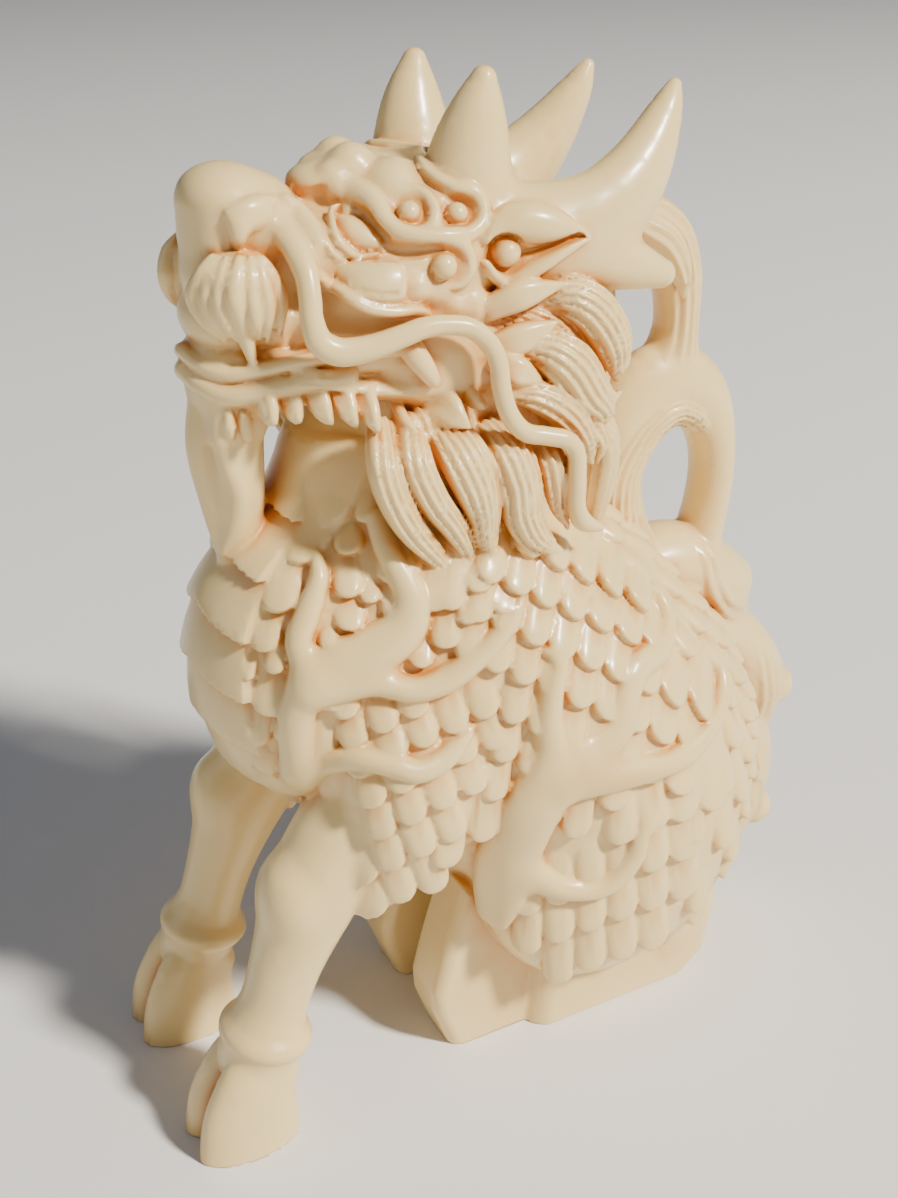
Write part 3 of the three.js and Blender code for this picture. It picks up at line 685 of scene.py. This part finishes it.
EYE_SOCKET = [(335, 213, 0.5, 0.7), (346, 221, 1.4), (360, 233, 1.7, 1.5), (376, 243, 1.2), (391, 248, 0.3, 0.6)]
ridge(face, EYE_SOCKET, 0.5, 0.2, cut=True)
EYEBALL = [(338, 215, 0.5, 0.6), (349, 225, 1.4, 1.2), (363, 237, 1.4, 1.2), (381, 246, 0.5, 0.6)]
ridge(face, EYEBALL, -0.6, 0.08)
UPPER_LID = [
    (340, 206, 0.2, 0.3), (332, 213, 0.35, 0.5), (331, 226, 0.4, 0.55), (335, 240, 0.45, 0.6), (345, 251, 0.45, 0.6),
    (360, 258, 0.45, 0.6), (374, 256, 0.3, 0.45), (386, 251, 0.1, 0.2),
]
ridge(face, UPPER_LID, 0.25, 0.12)
LOWER_LID = [
    (326, 242, 0.25, 0.3), (333, 254, 0.35, 0.45), (349, 265, 0.35, 0.45), (364, 266, 0.25, 0.35),
    (378, 262, 0.1, 0.15),
]
ridge(face, LOWER_LID, 0.05, 0.2)
CHEEK_PAD = [(340, 274, 1.1, 0.5), (362, 280, 1.8, 0.8), (382, 283, 2, 1), (396, 283, 2, 1)]
ridge(face, CHEEK_PAD, 0.15, 0.2)
UPPER_PAD_LINE = [(360, 290, 0.15, 0.2), (378, 293, 0.2, 0.25), (394, 292, 0.15, 0.2)]
ridge(face, UPPER_PAD_LINE, 1.1, 0.3, cut=True)
LOWER_PAD_LINE = [(362, 297, 0.15, 0.2), (380, 301, 0.2, 0.25), (394, 300, 0.15, 0.2)]
ridge(face, LOWER_PAD_LINE, 1, 0.3, cut=True)
LIP_POCKET = [(322, 294, 1), (332, 312, 1.5), (350, 320, 1.5), (374, 324, 1.1, 1.3), (402, 322, 0.8, 0.9)]
ridge(face, LIP_POCKET, 0.2, 0.4, cut=True)
LIP_FOLD = [
    (316, 272, 0.45, 0.5), (328, 280, 0.6, 0.8), (341, 288, 0.65, 0.95), (354, 297, 0.7, 1), (370, 305, 0.7, 1),
    (390, 308, 0.7, 1), (408, 308, 0.65, 0.9), (422, 312, 0.5, 0.7), (432, 319, 0.3, 0.4),
]
ridge(face, LIP_FOLD, 0.5, 0.15)
CHEEK_LUMPS = [(420, 290, 1.9), (438, 296, 2.1), (479, 302, 2.7), (456, 308, 1.7)]
LUMP_HEIGHT = 0.65
for u, v, radius in CHEEK_LUMPS:
    ball(face, u, v, radius, LUMP_HEIGHT - radius, 0.3)
HORN_FOLD = [
    (421, 148, 0.4, 0.5), (423, 163, 0.6, 0.75), (434, 176, 0.65, 0.8), (452, 186, 0.6, 0.7), (468, 192, 0.4, 0.5),
]
ridge(face, HORN_FOLD, 0.1, 0.4)
BRIDGE_RIDGE = [(286, 200, 0.5), (298, 209, 0.9, 0.7), (310, 225, 0.9, 0.6), (319, 243, 0.5, 0.4)]
ridge(face, BRIDGE_RIDGE, 0.05, 0.6)
EAR_UPPER = [
    (486, 240, 0.7, 0.8), (500, 227, 1.5, 1.2), (520, 222, 2, 1.7), (542, 224, 1.9, 1.7), (562, 227, 1.2),
    (577, 231, 0.6, 0.7), (588, 238, 0.25, 0.3),
]
ridge(face, EAR_UPPER, 0.2, 0.35)
EAR_HOLLOW = (501, 254, 2.3, 1.2, 0.2)
ball(face, *EAR_HOLLOW, cut=True)
EAR_SLIT = [
    (494, 260, 0.6, 1), (506, 260, 0.8, 1.1), (520, 255, 0.5, 1.1), (538, 250, 0.38, 1), (556, 243, 0.34, 0.9),
    (572, 235, 0.3, 0.7), (584, 236, 0.2, 0.4),
]
ridge(face, EAR_SLIT, 0.3, 0.1, cut=True)
EAR_LOWER = [
    (482, 262, 0.4, 0.5), (491, 274, 0.6, 0.9), (504, 278, 0.85, 1.2), (520, 272, 0.9, 1.3), (540, 262, 0.8, 1.2),
    (560, 251, 0.65, 0.9), (578, 242, 0.4, 0.5), (588, 238, 0.2, 0.3),
]
ridge(face, EAR_LOWER, 0.45, 0.12)
EAR_PEARL = (506, 252, 1.5, 0, 0.05)
ball(face, *EAR_PEARL)

# A flap folds over the nostril, and a tuft of moustache hangs below it like a tassel: a cushion with seven
# lobes laid over it.
NOSE_GROOVE = [
    (274, 236, 0.5, 0.7), (286, 258, 0.9, 1.1), (295, 285, 1.3, 1.4), (297, 318, 1.4), (292, 345, 0.8, 0.9),
]
ridge(face, NOSE_GROOVE, 0.1, 0.4, cut=True)
nose = casting.copy()
NOSTRIL_FLAP = [(230, 214, 0.7, 0.6), (246, 209, 1, 0.9), (262, 203, 0.8, 0.7), (274, 200, 0.4, 0.3)]
ridge(nose, NOSTRIL_FLAP, 0.15, 0.35)
FLAP_BODY = [(236, 223, 0.9, 0.8), (250, 218, 1.3, 0.9), (264, 212, 1.1, 0.7)]
ridge(nose, FLAP_BODY, 0.1, 0.6)
FLAP_HOOK = [(240, 222, 1.1, 0.9), (238, 234, 0.9, 1), (238, 243, 0.5, 0.7)]
ridge(nose, FLAP_HOOK, 0.3, 0.5)
TUFT = np.array([5.1, -15.6, 102.8])
TUFT_RADII = [4.2, 2.7, 4.2]
TUFT_SIDE = np.array([0.883, -0.469, 0])
TUFT_EDGE = 0.1
# Each lobe: where it starts, where it is fullest and where it ends, from -1 to 1 across and up, and its half width.
TUFT_LOBES = [
    (-0.5, -0.92, -0.34, -1.06, 1.05), (-0.36, -0.66, -0.24, -0.98, 0.8), (-0.18, -0.36, -0.06, -1.08, 0.85),
    (0.34, 0.38, 0.42, -1.02, 0.85), (0.5, 0.68, 0.6, -1.1, 0.8), (0.62, 0.96, 0.88, -0.92, 0.75),
    (0.1, 0, 0.3, -1.85, 1.05),
]
egg(casting, TUFT, TUFT_RADII, soft=0.2, turn=math.degrees(HEADING))
for start, full, end, drop, wide in TUFT_LOBES:
    route = [
        (start, 0.86, 0.5), (0.5 * start + 0.5 * full, 0.5, 0.9), (full, 0.02, 1),
        (0.6 * full + 0.4 * end, 0.5 * drop, 0.85), (end, drop, 0.22),
    ]
    stations, facing = [], []
    for a, b, share in route:
        swell = math.sqrt(max(TUFT_EDGE, 1 - a * a - b * b))
        place = TUFT + a * TUFT_RADII[0] * RIGHT + swell * TUFT_RADII[1] * TUFT_SIDE + [0, 0, b * TUFT_RADII[2]]
        normal = a / TUFT_RADII[0] * RIGHT + swell / TUFT_RADII[1] * TUFT_SIDE + [0, 0, max(b, -1) / TUFT_RADII[2]]
        stations.append([*place, share * wide, 1.1 * share * wide])
        facing.append(normal)
    strand(casting, stations, facing=facing, soft=0.08, pitch=0.7)

# A thin rail edges the upper lip, with the broad band of the gum under it. Wrinkles run along the band, and
# two small bumps stand on the chin.
LIP = [
    [0, -20.1, 96.4], [2.6, -19.3, 95.6], [4.9, -17.2, 94.9], [6.7, -14.4, 95.5], [8, -11.8, 96.1], [9.8, -7, 96.7],
    [11.4, -2, 97],
]
LIP_GIRTH = 0.75
GUM_SETBACK, GUM_DROP, GUM_GIRTH = 0.3, 2.1, 1.2
strand(casting, [[*place, LIP_GIRTH] for place in LIP], soft=0.4)
strand(casting, [[x, y + GUM_SETBACK, z - GUM_DROP, GUM_GIRTH] for x, y, z in LIP[:6]], soft=0.4)
lips = casting.copy()
WRINKLE_DROPS = (0, 7, 14)
for drop in WRINKLE_DROPS:
    wrinkle = [
        (292, 371 + drop, 0.25, 0.2), (330, 373 + drop, 0.4, 0.35), (370, 377 + drop, 0.4, 0.35),
        (420, 386 + 0.6 * drop, 0.2, 0.2),
    ]
    ridge(lips, wrinkle, soft=0.2)
CHIN_BUMP = [(244, 411, 0.5), (244, 425, 0.75, 0.8), (246, 438, 0.4)]
ridge(lips, CHIN_BUMP, 0.3, 0.12)
FAR_CHIN_BUMP = [(228, 412, 0.4), (229, 426, 0.7), (231, 438, 0.3)]
ridge(lips, FAR_CHIN_BUMP, 0.05, 0.2)

# A fang hangs from the corner of the upper lip.
FANG = [(407, 342, 12, 1.3, 1.2), (417, 357, 12.8, 1.25, 1.2), (427, 371, 13.2, 1.05, 1), (433, 380, 13.2, 0.8)]
strand(casting, seen(FANG), soft=0.1)

# Grooved locks of hair cover the nape, which the picture hides, and hang behind the cheek and under the jaw.
# Each lock is laid over the next, from the back of the neck to the front.
NAPE = [[0, 14, 106, 6, 8], [0, 14.5, 97, 9.5, 13], [0, 14, 86, 9.5, 14], [0, 12, 76, 9, 13], [0, 10, 68, 6, 9]]
strand(casting, NAPE, soft=1, pitch=3)
HAIR_SPACING = 0.45
HAIR_FACING = (1, 0, 0.1)
NAPE_FACING = (0.4, 1, 0.2)
NAPE_LOCKS = [
    [[4, 18, 105, 3, 2.4], [5, 24, 99, 3.6, 2.4], [5, 25.6, 90, 3.6, 2.2], [4.6, 25.4, 80, 1]],
    [[12, 16, 88, 3, 2], [11, 22.6, 84, 3.4, 2.2], [10, 23.4, 76.6, 3, 2], [9.6, 22.6, 70, 0.8]],
    [[8, 15, 104, 3, 2.4], [9, 21.6, 101, 3.2, 2.2], [8.8, 23.6, 94, 3, 2], [8.6, 24.2, 87, 0.8]],
]
for lock in NAPE_LOCKS:
    strand(casting, lock, facing=NAPE_FACING, soft=0.12, ridges=8, groove=HAIR_GROOVE, pitch=0.8)
LEAVES = [
    [(490, 308, 12, 1.5, 1.2), (524, 294, 13.4, 1.7, 1.2), (567, 283, 13.6, 0.15, 0.3)],
    [(498, 346, 13, 1.5, 1.2), (524, 337, 13.8, 1.8, 1.2), (559, 321, 14.4, 0.15, 0.3)],
    [(500, 362, 13.6, 1.4, 1.2), (518, 372, 14.6, 1.8, 1.2), (542, 380, 15, 0.15, 0.3)],
]
MANE = [
    [(540, 301, 12, 1, 0.8), (567, 295, 13.2, 2.1, 1.4), (592, 308, 14.2, 2.5, 1.7), (610, 334, 14.8, 2.4, 1.8),
     (617, 358, 14.8, 1.7, 1.4), (615, 379, 14.6, 0.4, 0.5)],
    [(516, 352, 13, 0.8), (542, 347, 14, 2, 1.5), (569, 364, 15.2, 2.8, 2), (589, 394, 15.4, 2.6, 1.9),
     (602, 410, 15.2, 1.6, 1.4), (596, 428, 15, 0.4, 0.5)],
    [(560, 352, 14.6, 0.8), (584, 368, 15.2, 1.1, 1.2), (600, 387, 15.4, 1, 1.1), (612, 396, 15.4, 0.7, 0.8),
     (621, 392, 15.4, 0.3)],
    [(508, 392, 14, 1), (538, 396, 14.8, 2, 1.6), (564, 412, 15.6, 2.2, 1.8), (582, 436, 15.2, 1.7, 1.5),
     (591, 462, 14.8, 0.4, 0.5)],
    [(570, 410, 14.4, 0.8), (590, 424, 15, 1.2), (600, 442, 15, 1, 1.1), (597, 462, 14.6, 0.3, 0.4)],
]
BEARD = [
    [(380, 424, 10.6, 1.9, 1), (384, 466, 14, 2.1, 1.6), (394, 499, 14.8, 2.1, 1.8), (412, 530, 15, 1.9, 1.6),
     (437, 557, 14.6, 1.4, 1.2), (461, 579, 14, 0.3)],
    [(410, 424, 11.2, 1.8, 1), (416, 464, 14.6, 2.1, 1.8), (432, 499, 15.4, 2), (453, 527, 15.4, 1.7),
     (467, 552, 15, 1.1, 1.2), (476, 579, 14.2, 0.3)],
    [(442, 422, 11.8, 2.4, 1), (463, 456, 15, 3, 1.8), (476, 484, 16, 2.9, 2), (483, 512, 16.2, 2, 1.8),
     (487, 542, 16, 1.2, 1.3), (503, 581, 15.4, 0.3)],
    [(490, 426, 12.6, 2.2, 1), (510, 456, 16, 2.6, 1.8), (520, 486, 16.8, 2.5, 2), (523, 513, 17, 2.3, 1.8),
     (536, 537, 17, 1.8, 1.4), (563, 553, 16.6, 0.3)],
    [(536, 436, 13.8, 1.7, 1), (551, 460, 16.4, 1.7, 1.4), (556, 484, 16.8, 1.6, 1.4), (560, 508, 16.8, 1.1, 1),
     (568, 528, 16.4, 0.3)],
]
UNDER_HAIR = [
    [(432, 420, 11, 5, 2), (446, 466, 12.4, 5.4, 2), (474, 504, 13.6, 4.4, 2), (496, 544, 14, 2, 1.5)],
    [(500, 318, 10.5, 3, 2), (545, 345, 12.6, 4.6, 2), (575, 385, 13.4, 4, 2), (585, 430, 13.2, 2.4, 1.6)],
]
for lock in UNDER_HAIR + MANE[::-1] + BEARD[::-1]:
    widest = max(station[3] for station in lock)
    lines = round(widest / HAIR_SPACING)
    strand(casting, seen(lock), facing=HAIR_FACING, soft=0.12, ridges=lines, groove=HAIR_GROOVE, pitch=0.7)
for lock in LEAVES:
    strand(casting, seen(lock), facing=HAIR_FACING, soft=0.12, ridges=2, groove=0.2, pitch=0.6)

# Small leaves fringe the lower edge of the jaw, over the roots of the beard. Each is given by its root, its tip
# and its half width.
FRINGE = [
    (266, 401, 275, 424, 1.15), (290, 398, 301, 422, 1.2), (316, 395, 334, 425, 1.25), (342, 396, 359, 429, 1.2),
    (365, 398, 380, 434, 1.2), (392, 402, 421, 435, 1.5), (438, 402, 472, 429, 1.8), (468, 394, 488, 404, 1),
]
LEAF_CLEARANCE = 0.7
jaw = casting.copy()
for u0, v0, u1, v1, wide in FRINGE[::-1]:
    at = touch(jaw, [(u0, v0), (u1, v1)])
    out = jaw.normals(at[:1], 0.8)[0]
    root_range, tip_range = np.linalg.norm(at - VIEWPOINT, axis=1)
    tip_range = min(root_range, np.nan_to_num(tip_range - LEAF_CLEARANCE, nan=root_range))
    tip = VIEWPOINT + tip_range * rays([(u1, v1)])[0]
    root = at[0] - 0.2 * out
    leaf = [
        [*(1.1 * root - 0.1 * tip), 1.2 * wide, 0.7], [*(0.75 * root + 0.25 * tip + 0.7 * out), 1.1 * wide, 0.75],
        [*(0.4 * root + 0.6 * tip + 0.8 * out), 0.6 * wide, 0.6], [*(tip + 0.1 * out), 0.05, 0.1],
    ]
    strand(casting, leaf, facing=out, soft=0.05, ridges=2, groove=0.25, pitch=0.5)

# A long smooth whisker grows out of the nose, passes under the cheek and hangs down over the hair. Its root is
# blended into the nose.
WHISKER = [
    (256, 204, 1.6, 1, 0.8), (270, 217, 3.6, 1.3, 1), (284, 233, 5.9, 1.4, 1.2), (297, 252, 8, 1.3, 1.2),
    (306, 274, 9.7, 1.15), (310, 298, 10.8, 1.12, 1.15), (312, 320, 11.5, 1.15), (320, 342, 12, 1.3, 1.2),
    (340, 352, 12.5, 1.4, 1.3), (370, 348, 13.2, 1.3, 1.2), (400, 337, 13.8, 1.15), (424, 328, 14.2, 1.05),
    (446, 325, 14.5, 1), (470, 328, 15, 1), (488, 342, 15.5, 1), (498, 362, 16, 1), (502, 390, 16.4, 1),
    (510, 415, 16.8, 1), (525, 432, 17.1, 1), (546, 436, 17.5, 1), (566, 440, 18, 1), (576, 453, 18.2, 1),
    (577, 479, 18.4, 1), (577, 508, 18.4, 1), (584, 522, 18.3, 1.05), (600, 527, 18, 0.5),
]
WHISKER_ROOT, WHISKER_LENGTH = WHISKER[:5], WHISKER[3:]
strand(casting, seen(WHISKER_ROOT), soft=0.9)
strand(casting, seen(WHISKER_LENGTH), soft=0.15)

# The soles are rubbed flat, so that the figure stands.
GROUND = 1.2
casting.field = np.maximum(casting.field, (GROUND - casting.axes[2]).astype(np.float32))

# The carving is cast: it becomes one closed mesh that stands for the solid. Its shading follows the carved
# surface itself, not the flat facets, and each point keeps how deep in a hollow it lies.
MM = 0.001
MIDDLE_Y = 17.6
MOST_TRIANGLES = 198000
BAND_CHIPS = 3
SHADING_REACH = 0.2
HOLLOW_GAPS = (0.5, 1.2, 2.4)
half = casting.field
whole = np.concatenate([half[:0:-1], half])
band = BAND_CHIPS * CHIP
grid = openvdb.FloatGrid(background=band)
grid.copyFromArray(np.ascontiguousarray(np.clip(whole, -band, band)))
points, _, quads = grid.convertToPolygons(isovalue=0.0, adaptivity=0.0)
points = points * CHIP + [-(half.shape[0] - 1) * CHIP, casting.low[1], casting.low[2]]
mesh = bpy.data.meshes.new("qilin_casting")
mesh.vertices.add(len(points))
mesh.vertices.foreach_set("co", ((points - [0, MIDDLE_Y, GROUND]) * MM).astype(np.float32).ravel())
loops = quads.ravel()
mesh.loops.add(len(loops))
mesh.loops.foreach_set("vertex_index", loops.astype(np.int32))
mesh.polygons.add(len(quads))
mesh.polygons.foreach_set("loop_start", np.arange(0, len(loops), 4, dtype=np.int32))
mesh.update(calc_edges=True)
mesh.validate()
figurine = bpy.data.objects.new("qilin_casting", mesh)
bpy.context.collection.objects.link(figurine)
thin = figurine.modifiers.new("thin", "DECIMATE")
thin.ratio = MOST_TRIANGLES / (2 * len(quads))
thin.use_collapse_triangulate = True
graph = bpy.context.evaluated_depsgraph_get()
thinned = bpy.data.meshes.new_from_object(figurine.evaluated_get(graph))
figurine.modifiers.clear()
figurine.data = thinned
bpy.data.meshes.remove(mesh)
thinned.name = "qilin_casting"
thinned.polygons.foreach_set("use_smooth", np.ones(len(thinned.polygons), bool))
places = np.empty(3 * len(thinned.vertices), np.float32)
thinned.vertices.foreach_get("co", places)
places = places.reshape(-1, 3) / MM + [0, MIDDLE_Y, GROUND]
upright = casting.normals(places, SHADING_REACH)
shade = sum(np.clip(1 - casting.height(places + gap * upright) / gap, 0, 1) for gap in HOLLOW_GAPS)
shade = (shade / len(HOLLOW_GAPS)).astype(np.float32)
# The hollow depth is kept for the material, which uses it for painted shade in the colour, and for roughness and tool
# marks.
thinned.attributes.new("hollow", "FLOAT", "POINT").data.foreach_set("value", shade)
thinned.normals_split_custom_set_from_vertices(upright.tolist())
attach(figurine, "root")
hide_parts("qilin_figurine")

# The resin is warm ivory and slightly see-through. Its hollows are painted a darker honey orange in the base colour:
# this is painted shade, standing in for the shade in the hollows and the light that enters a thin edge. It was
# polished by hand: the raised forms shine softly, and fine tool marks stay between them.


class Socket:
    """A socket of the material's tree. Sums and products of sockets and numbers add the nodes that work them out."""

    def __init__(self, tree, socket):
        self.tree, self.socket = tree, socket

    def node(self, kind, settings, inputs, output=0):
        node = self.tree.nodes.new(kind)
        for name, value in settings.items():
            setattr(node, name, value)
        for name, value in inputs.items():
            if isinstance(value, Socket):
                self.tree.links.new(value.socket, node.inputs[name])
            else:
                node.inputs[name].default_value = value
        return Socket(self.tree, node.outputs[output])

    def maths(self, operation, first, second):
        return self.node("ShaderNodeMath", {"operation": operation}, {0: first, 1: second})

    def __add__(self, other):
        return self.maths("ADD", self, other)

    def __radd__(self, other):
        return self.maths("ADD", other, self)

    def __mul__(self, other):
        return self.maths("MULTIPLY", self, other)

    def __rmul__(self, other):
        return self.maths("MULTIPLY", other, self)

    def __pow__(self, other):
        return self.maths("POWER", self, other)

    def blend(self, first, second):
        """FIRST where this mask is 0, and SECOND where it is 1."""
        return self.node("ShaderNodeMix", {"data_type": "RGBA"}, {"Factor": self, 6: first, 7: second}, 2)


CLOUD_GRAIN, SPECK_GRAIN, TOOL_GRAIN = 70.0, 900.0, 2600.0
TOOL_WANDER = 1.2
# Painted shade: how steeply and how strongly the hollows are painted darker orange.
HOLLOW_SHADE_POWER, HOLLOW_SHADE_STRENGTH = 1.3, 1.5
POLISH = 0.24
MARK_STRENGTH, MARK_DEPTH = 0.35, 0.00008
IVORY = (0.86, 0.64, 0.27, 1)
# The painted shade colour of the hollows.
HOLLOW_SHADE_COLOUR = (0.66, 0.29, 0.05, 1)
CLOUD = (0.90, 0.71, 0.35, 1)
resin = bpy.data.materials.new("ivory_resin")
resin.use_nodes = True
tree = resin.node_tree
shader = tree.nodes["Principled BSDF"]
start = Socket(tree, None)
place = start.node("ShaderNodeTexCoord", {}, {}, "Object")
hollow = start.node("ShaderNodeAttribute", {"attribute_name": "hollow"}, {}, "Fac")
cloud = start.node("ShaderNodeTexNoise", {}, {"Vector": place, "Scale": CLOUD_GRAIN, "Detail": 3.0})
speck = start.node("ShaderNodeTexNoise", {}, {"Vector": place, "Scale": SPECK_GRAIN, "Detail": 2.0})
tooling_inputs = {"Vector": place, "Scale": TOOL_GRAIN, "Detail": 2.0, "Distortion": TOOL_WANDER}
tooling = start.node("ShaderNodeTexNoise", {}, tooling_inputs)
# Painted shade: the base colour turns darker honey orange the deeper a point lies in a hollow.
painted_shade_inputs = {0: hollow ** HOLLOW_SHADE_POWER, 1: HOLLOW_SHADE_STRENGTH}
painted_shade = start.node("ShaderNodeMath", {"operation": "MULTIPLY", "use_clamp": True}, painted_shade_inputs)
body = (cloud * 0.9).blend(IVORY, CLOUD)
tree.links.new(painted_shade.blend(body, HOLLOW_SHADE_COLOUR).socket, shader.inputs["Base Color"])
tree.links.new((POLISH + 0.16 * speck + 0.22 * hollow).socket, shader.inputs["Roughness"])
marks = tooling * hollow + 0.35 * speck
bump_inputs = {"Height": marks, "Strength": MARK_STRENGTH, "Distance": MARK_DEPTH}
bump = start.node("ShaderNodeBump", {}, bump_inputs, "Normal")
tree.links.new(bump.socket, shader.inputs["Normal"])
shader.inputs["Subsurface Weight"].default_value = 0.3
shader.inputs["Subsurface Radius"].default_value = (1.0, 0.7, 0.35)
shader.inputs["Subsurface Scale"].default_value = 0.0009
shader.inputs["Coat Weight"].default_value = 0.25
shader.inputs["Coat Roughness"].default_value = 0.16
figurine.data.materials.append(resin)

# The figurine stands on a plain sheet of pale paper.
PAPER_HALF = 2
PAPER = (0.82, 0.81, 0.80, 1)
floor_mesh = bpy.data.meshes.new("floor")
corners = [(x * PAPER_HALF, y * PAPER_HALF, 0) for x, y in ((-1, -1), (1, -1), (1, 1), (-1, 1))]
floor_mesh.from_pydata(corners, [], [(0, 1, 2, 3)])
floor = bpy.data.objects.new("floor", floor_mesh)
bpy.context.collection.objects.link(floor)
paper = bpy.data.materials.new("pale_paper")
paper.use_nodes = True
sheet = paper.node_tree.nodes["Principled BSDF"].inputs
sheet["Base Color"].default_value = PAPER
sheet["Roughness"].default_value = 0.9
floor_mesh.materials.append(paper)

# A small warm lamp stands to the right of the camera and above it, and a large weak one in front. The rest of
# the light comes from a pale room.


def lamp(name, place, aim, size, power, colour):
    light = bpy.data.lights.new(name, "AREA")
    light.size = size
    light.energy = power
    light.color = colour
    holder = bpy.data.objects.new(name, light)
    holder.location = place
    holder.rotation_mode = "QUATERNION"
    holder.rotation_quaternion = (Vector(aim) - Vector(place)).to_track_quat("-Z", "Y")
    bpy.context.collection.objects.link(holder)


lamp("key", place=(1.12, 0.72, 1.3), aim=(0, 0, 0.06), size=0.2, power=68, colour=(1, 0.94, 0.84))
lamp("fill", place=(-0.3, -1, 0.6), aim=(0, 0, 0.05), size=0.8, power=1.4, colour=(0.86, 0.92, 1))
ROOM_COLOUR, ROOM_STRENGTH = (0.8, 0.86, 1, 1), 0.17
world = bpy.data.worlds.new("room")
world.use_nodes = True
room = world.node_tree.nodes["Background"].inputs
room["Color"].default_value = ROOM_COLOUR
room["Strength"].default_value = ROOM_STRENGTH
bpy.context.scene.world = world

# The camera stands where the carver looks from, with the picture's frame.
SENSOR_WIDTH = 36
camera = bpy.data.cameras.new("camera")
camera.sensor_width = SENSOR_WIDTH
camera.lens = camera.sensor_width * FOCAL_PIXELS / PICTURE.max()
camera.clip_start = 0.01
eye = bpy.data.objects.new("camera", camera)
eye.location = (VIEWPOINT - [0, MIDDLE_Y, GROUND]) * MM
eye.rotation_euler = (math.pi / 2 - PITCH, 0, HEADING)
bpy.context.collection.objects.link(eye)
bpy.context.scene.camera = eye
